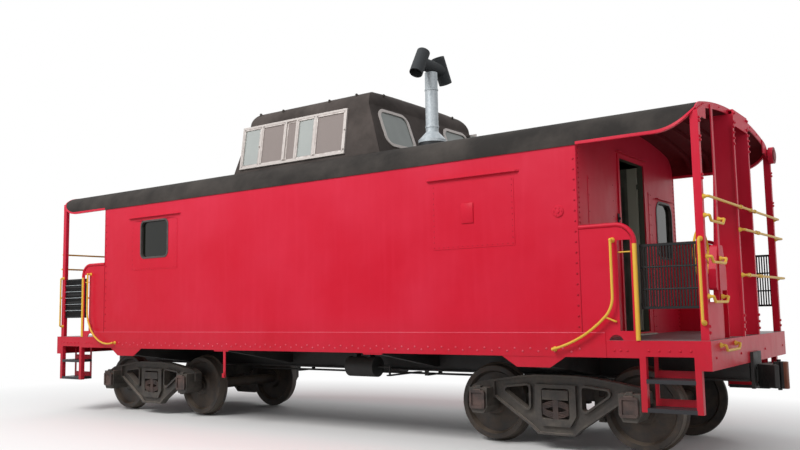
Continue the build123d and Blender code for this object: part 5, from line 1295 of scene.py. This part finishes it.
# %% Camera
PHOTO_WIDTH = 800
FOCAL_PIXELS = 839.3
CAMERA_PLACE = (7.3375, -9.2877, 1.4713 + BASE)
YAW, PITCH_UP, ROLL = radians(35.878), radians(5.814), radians(-1.0027)

ahead = Vector((-sin(YAW) * cos(PITCH_UP), cos(YAW) * cos(PITCH_UP), sin(PITCH_UP)))
level = ahead.cross(Vector(UP)).normalized()
top = level.cross(ahead)
across = cos(ROLL) * level + sin(ROLL) * top
upward = -sin(ROLL) * level + cos(ROLL) * top
lens = bpy.data.cameras.new("camera")
lens.sensor_width = 36.0
lens.lens = FOCAL_PIXELS / PHOTO_WIDTH * lens.sensor_width
lens.clip_end = 200.0
camera = bpy.data.objects.new("camera", lens)
turn = Matrix((across, upward, -ahead)).transposed().to_4x4()
camera.matrix_world = Matrix.Translation(CAMERA_PLACE) @ turn
bpy.context.scene.collection.objects.link(camera)
bpy.context.scene.camera = camera
print("lens", round(lens.lens, 2), "mm")

# %% [markdown]
# A pale floor keeps the car's shadow. Further off it fades to plain white, so that no
# horizon shows. Light Path says what kind of ray asks: to those that look, the floor is
# nearly white, and to those that only carry light it is greyer, so that it throws little
# light up and the underfloor stays as dark as it is outdoors.

# %% Floor
FADE_OVAL = (0.16, 0.3, 0.0)  # one over its radii in metres, longer along the car
FADE = (0.75, 1.7)
FLOOR_HALF = 60.0
CORNERS = ((-1, -1), (1, -1), (1, 1), (-1, 1))


def seen_rays(tree):
    """One for the rays that look: those of the camera, of a gloss and through glass."""
    rays = add(tree, "ShaderNodeLightPath")
    pair = {0: rays.outputs["Is Camera Ray"], 1: rays.outputs["Is Transmission Ray"]}
    straight = add(tree, "ShaderNodeMath", pair, operation="MAXIMUM").outputs[0]
    pair = {0: straight, 1: rays.outputs["Is Glossy Ray"]}
    return add(tree, "ShaderNodeMath", pair, operation="MAXIMUM").outputs[0]


def floor_paint(name, looked_at, lit):
    """A matt floor of one colour to rays that look and another to light, fading to white."""
    finish, tree, shader, place = new_finish(name, **{"Roughness": 0.9})
    seen = seen_rays(tree)
    shades = {0: seen, 6: linear(lit), 7: linear(looked_at)}
    shade = add(tree, "ShaderNodeMix", shades, data_type="RGBA")
    tree.links.new(shade.outputs[2], shader.inputs["Base Color"])
    oval = {0: place, 1: FADE_OVAL}
    spread = add(tree, "ShaderNodeVectorMath", oval, operation="MULTIPLY").outputs[0]
    reach = add(tree, "ShaderNodeVectorMath", {0: spread}, operation="LENGTH")
    fade = {"Value": reach.outputs["Value"], "From Min": FADE[0], "From Max": FADE[1]}
    fade = add(tree, "ShaderNodeMapRange", fade)
    glow = add(tree, "ShaderNodeEmission", {"Color": linear("#FFFFFF"), "Strength": 1.0})
    far = add(tree, "ShaderNodeMath", {0: fade.outputs[0], 1: seen}, operation="MULTIPLY")
    fading = {0: far.outputs[0], 1: shader.outputs[0], 2: glow.outputs[0]}
    faded = add(tree, "ShaderNodeMixShader", fading)
    surface = next(n for n in tree.nodes if n.type == "OUTPUT_MATERIAL")
    tree.links.new(faded.outputs[0], surface.inputs["Surface"])
    return finish


floor_mesh = bpy.data.meshes.new("studio_floor")
floor_mesh.from_pydata([(x * FLOOR_HALF, y * FLOOR_HALF, 0) for x, y in CORNERS], [],
                       [(0, 1, 2, 3)])
floor = bpy.data.objects.new("studio_floor", floor_mesh)
bpy.context.scene.collection.objects.link(floor)
floor_mesh.materials.append(floor_paint("pale_studio_floor", "#F1F0EE", "#B9B7B2"))
print("floor:", 2 * FLOOR_HALF, "m square")

# %% [markdown]
# The light is that of a white overcast sky: a soft world on all sides, a broad lamp from
# above on the near side, and two weak ones that lift the end and the back. Together they
# are just bright enough for each colour to render near its written value.

# %% Light
world = bpy.data.worlds.new("soft_sky")
bpy.context.scene.world = world
world.use_nodes = True
sky = world.node_tree
sky.nodes.clear()
light = add(sky, "ShaderNodeBackground", {"Color": linear("#F4F6FA"), "Strength": 0.52})
white = add(sky, "ShaderNodeBackground", {"Color": linear("#FFFFFF"), "Strength": 1.0})
skies = {0: seen_rays(sky), 1: light.outputs[0], 2: white.outputs[0]}
both = add(sky, "ShaderNodeMixShader", skies)
add(sky, "ShaderNodeOutputWorld", {"Surface": both.outputs[0]})

LAMPS = (
    # name, place, target, size, watts
    ("key", (-1.5, -13.0, 13.0), (-0.5, -1.0, 1.5), 7.0, 2050),
    ("fill", (15.0, -6.0, 7.0), (3.0, 0.0, 1.5), 7.0, 170),
    ("back", (-6.0, 14.0, 12.0), (0.0, 0.0, 2.0), 9.0, 450),
)
for name, place, target, size, watts in LAMPS:
    lamp = bpy.data.lights.new(name, "AREA")
    lamp.shape = "SQUARE"
    lamp.size = size
    lamp.energy = watts
    stand = bpy.data.objects.new(name, lamp)
    aim = (Vector(target) - Vector(place)).to_track_quat("-Z", "Y")
    stand.matrix_world = Matrix.Translation(place) @ aim.to_matrix().to_4x4()
    bpy.context.scene.collection.objects.link(stand)
bpy.context.scene.view_settings.view_transform = "Standard"
print("lamps:", len(LAMPS))
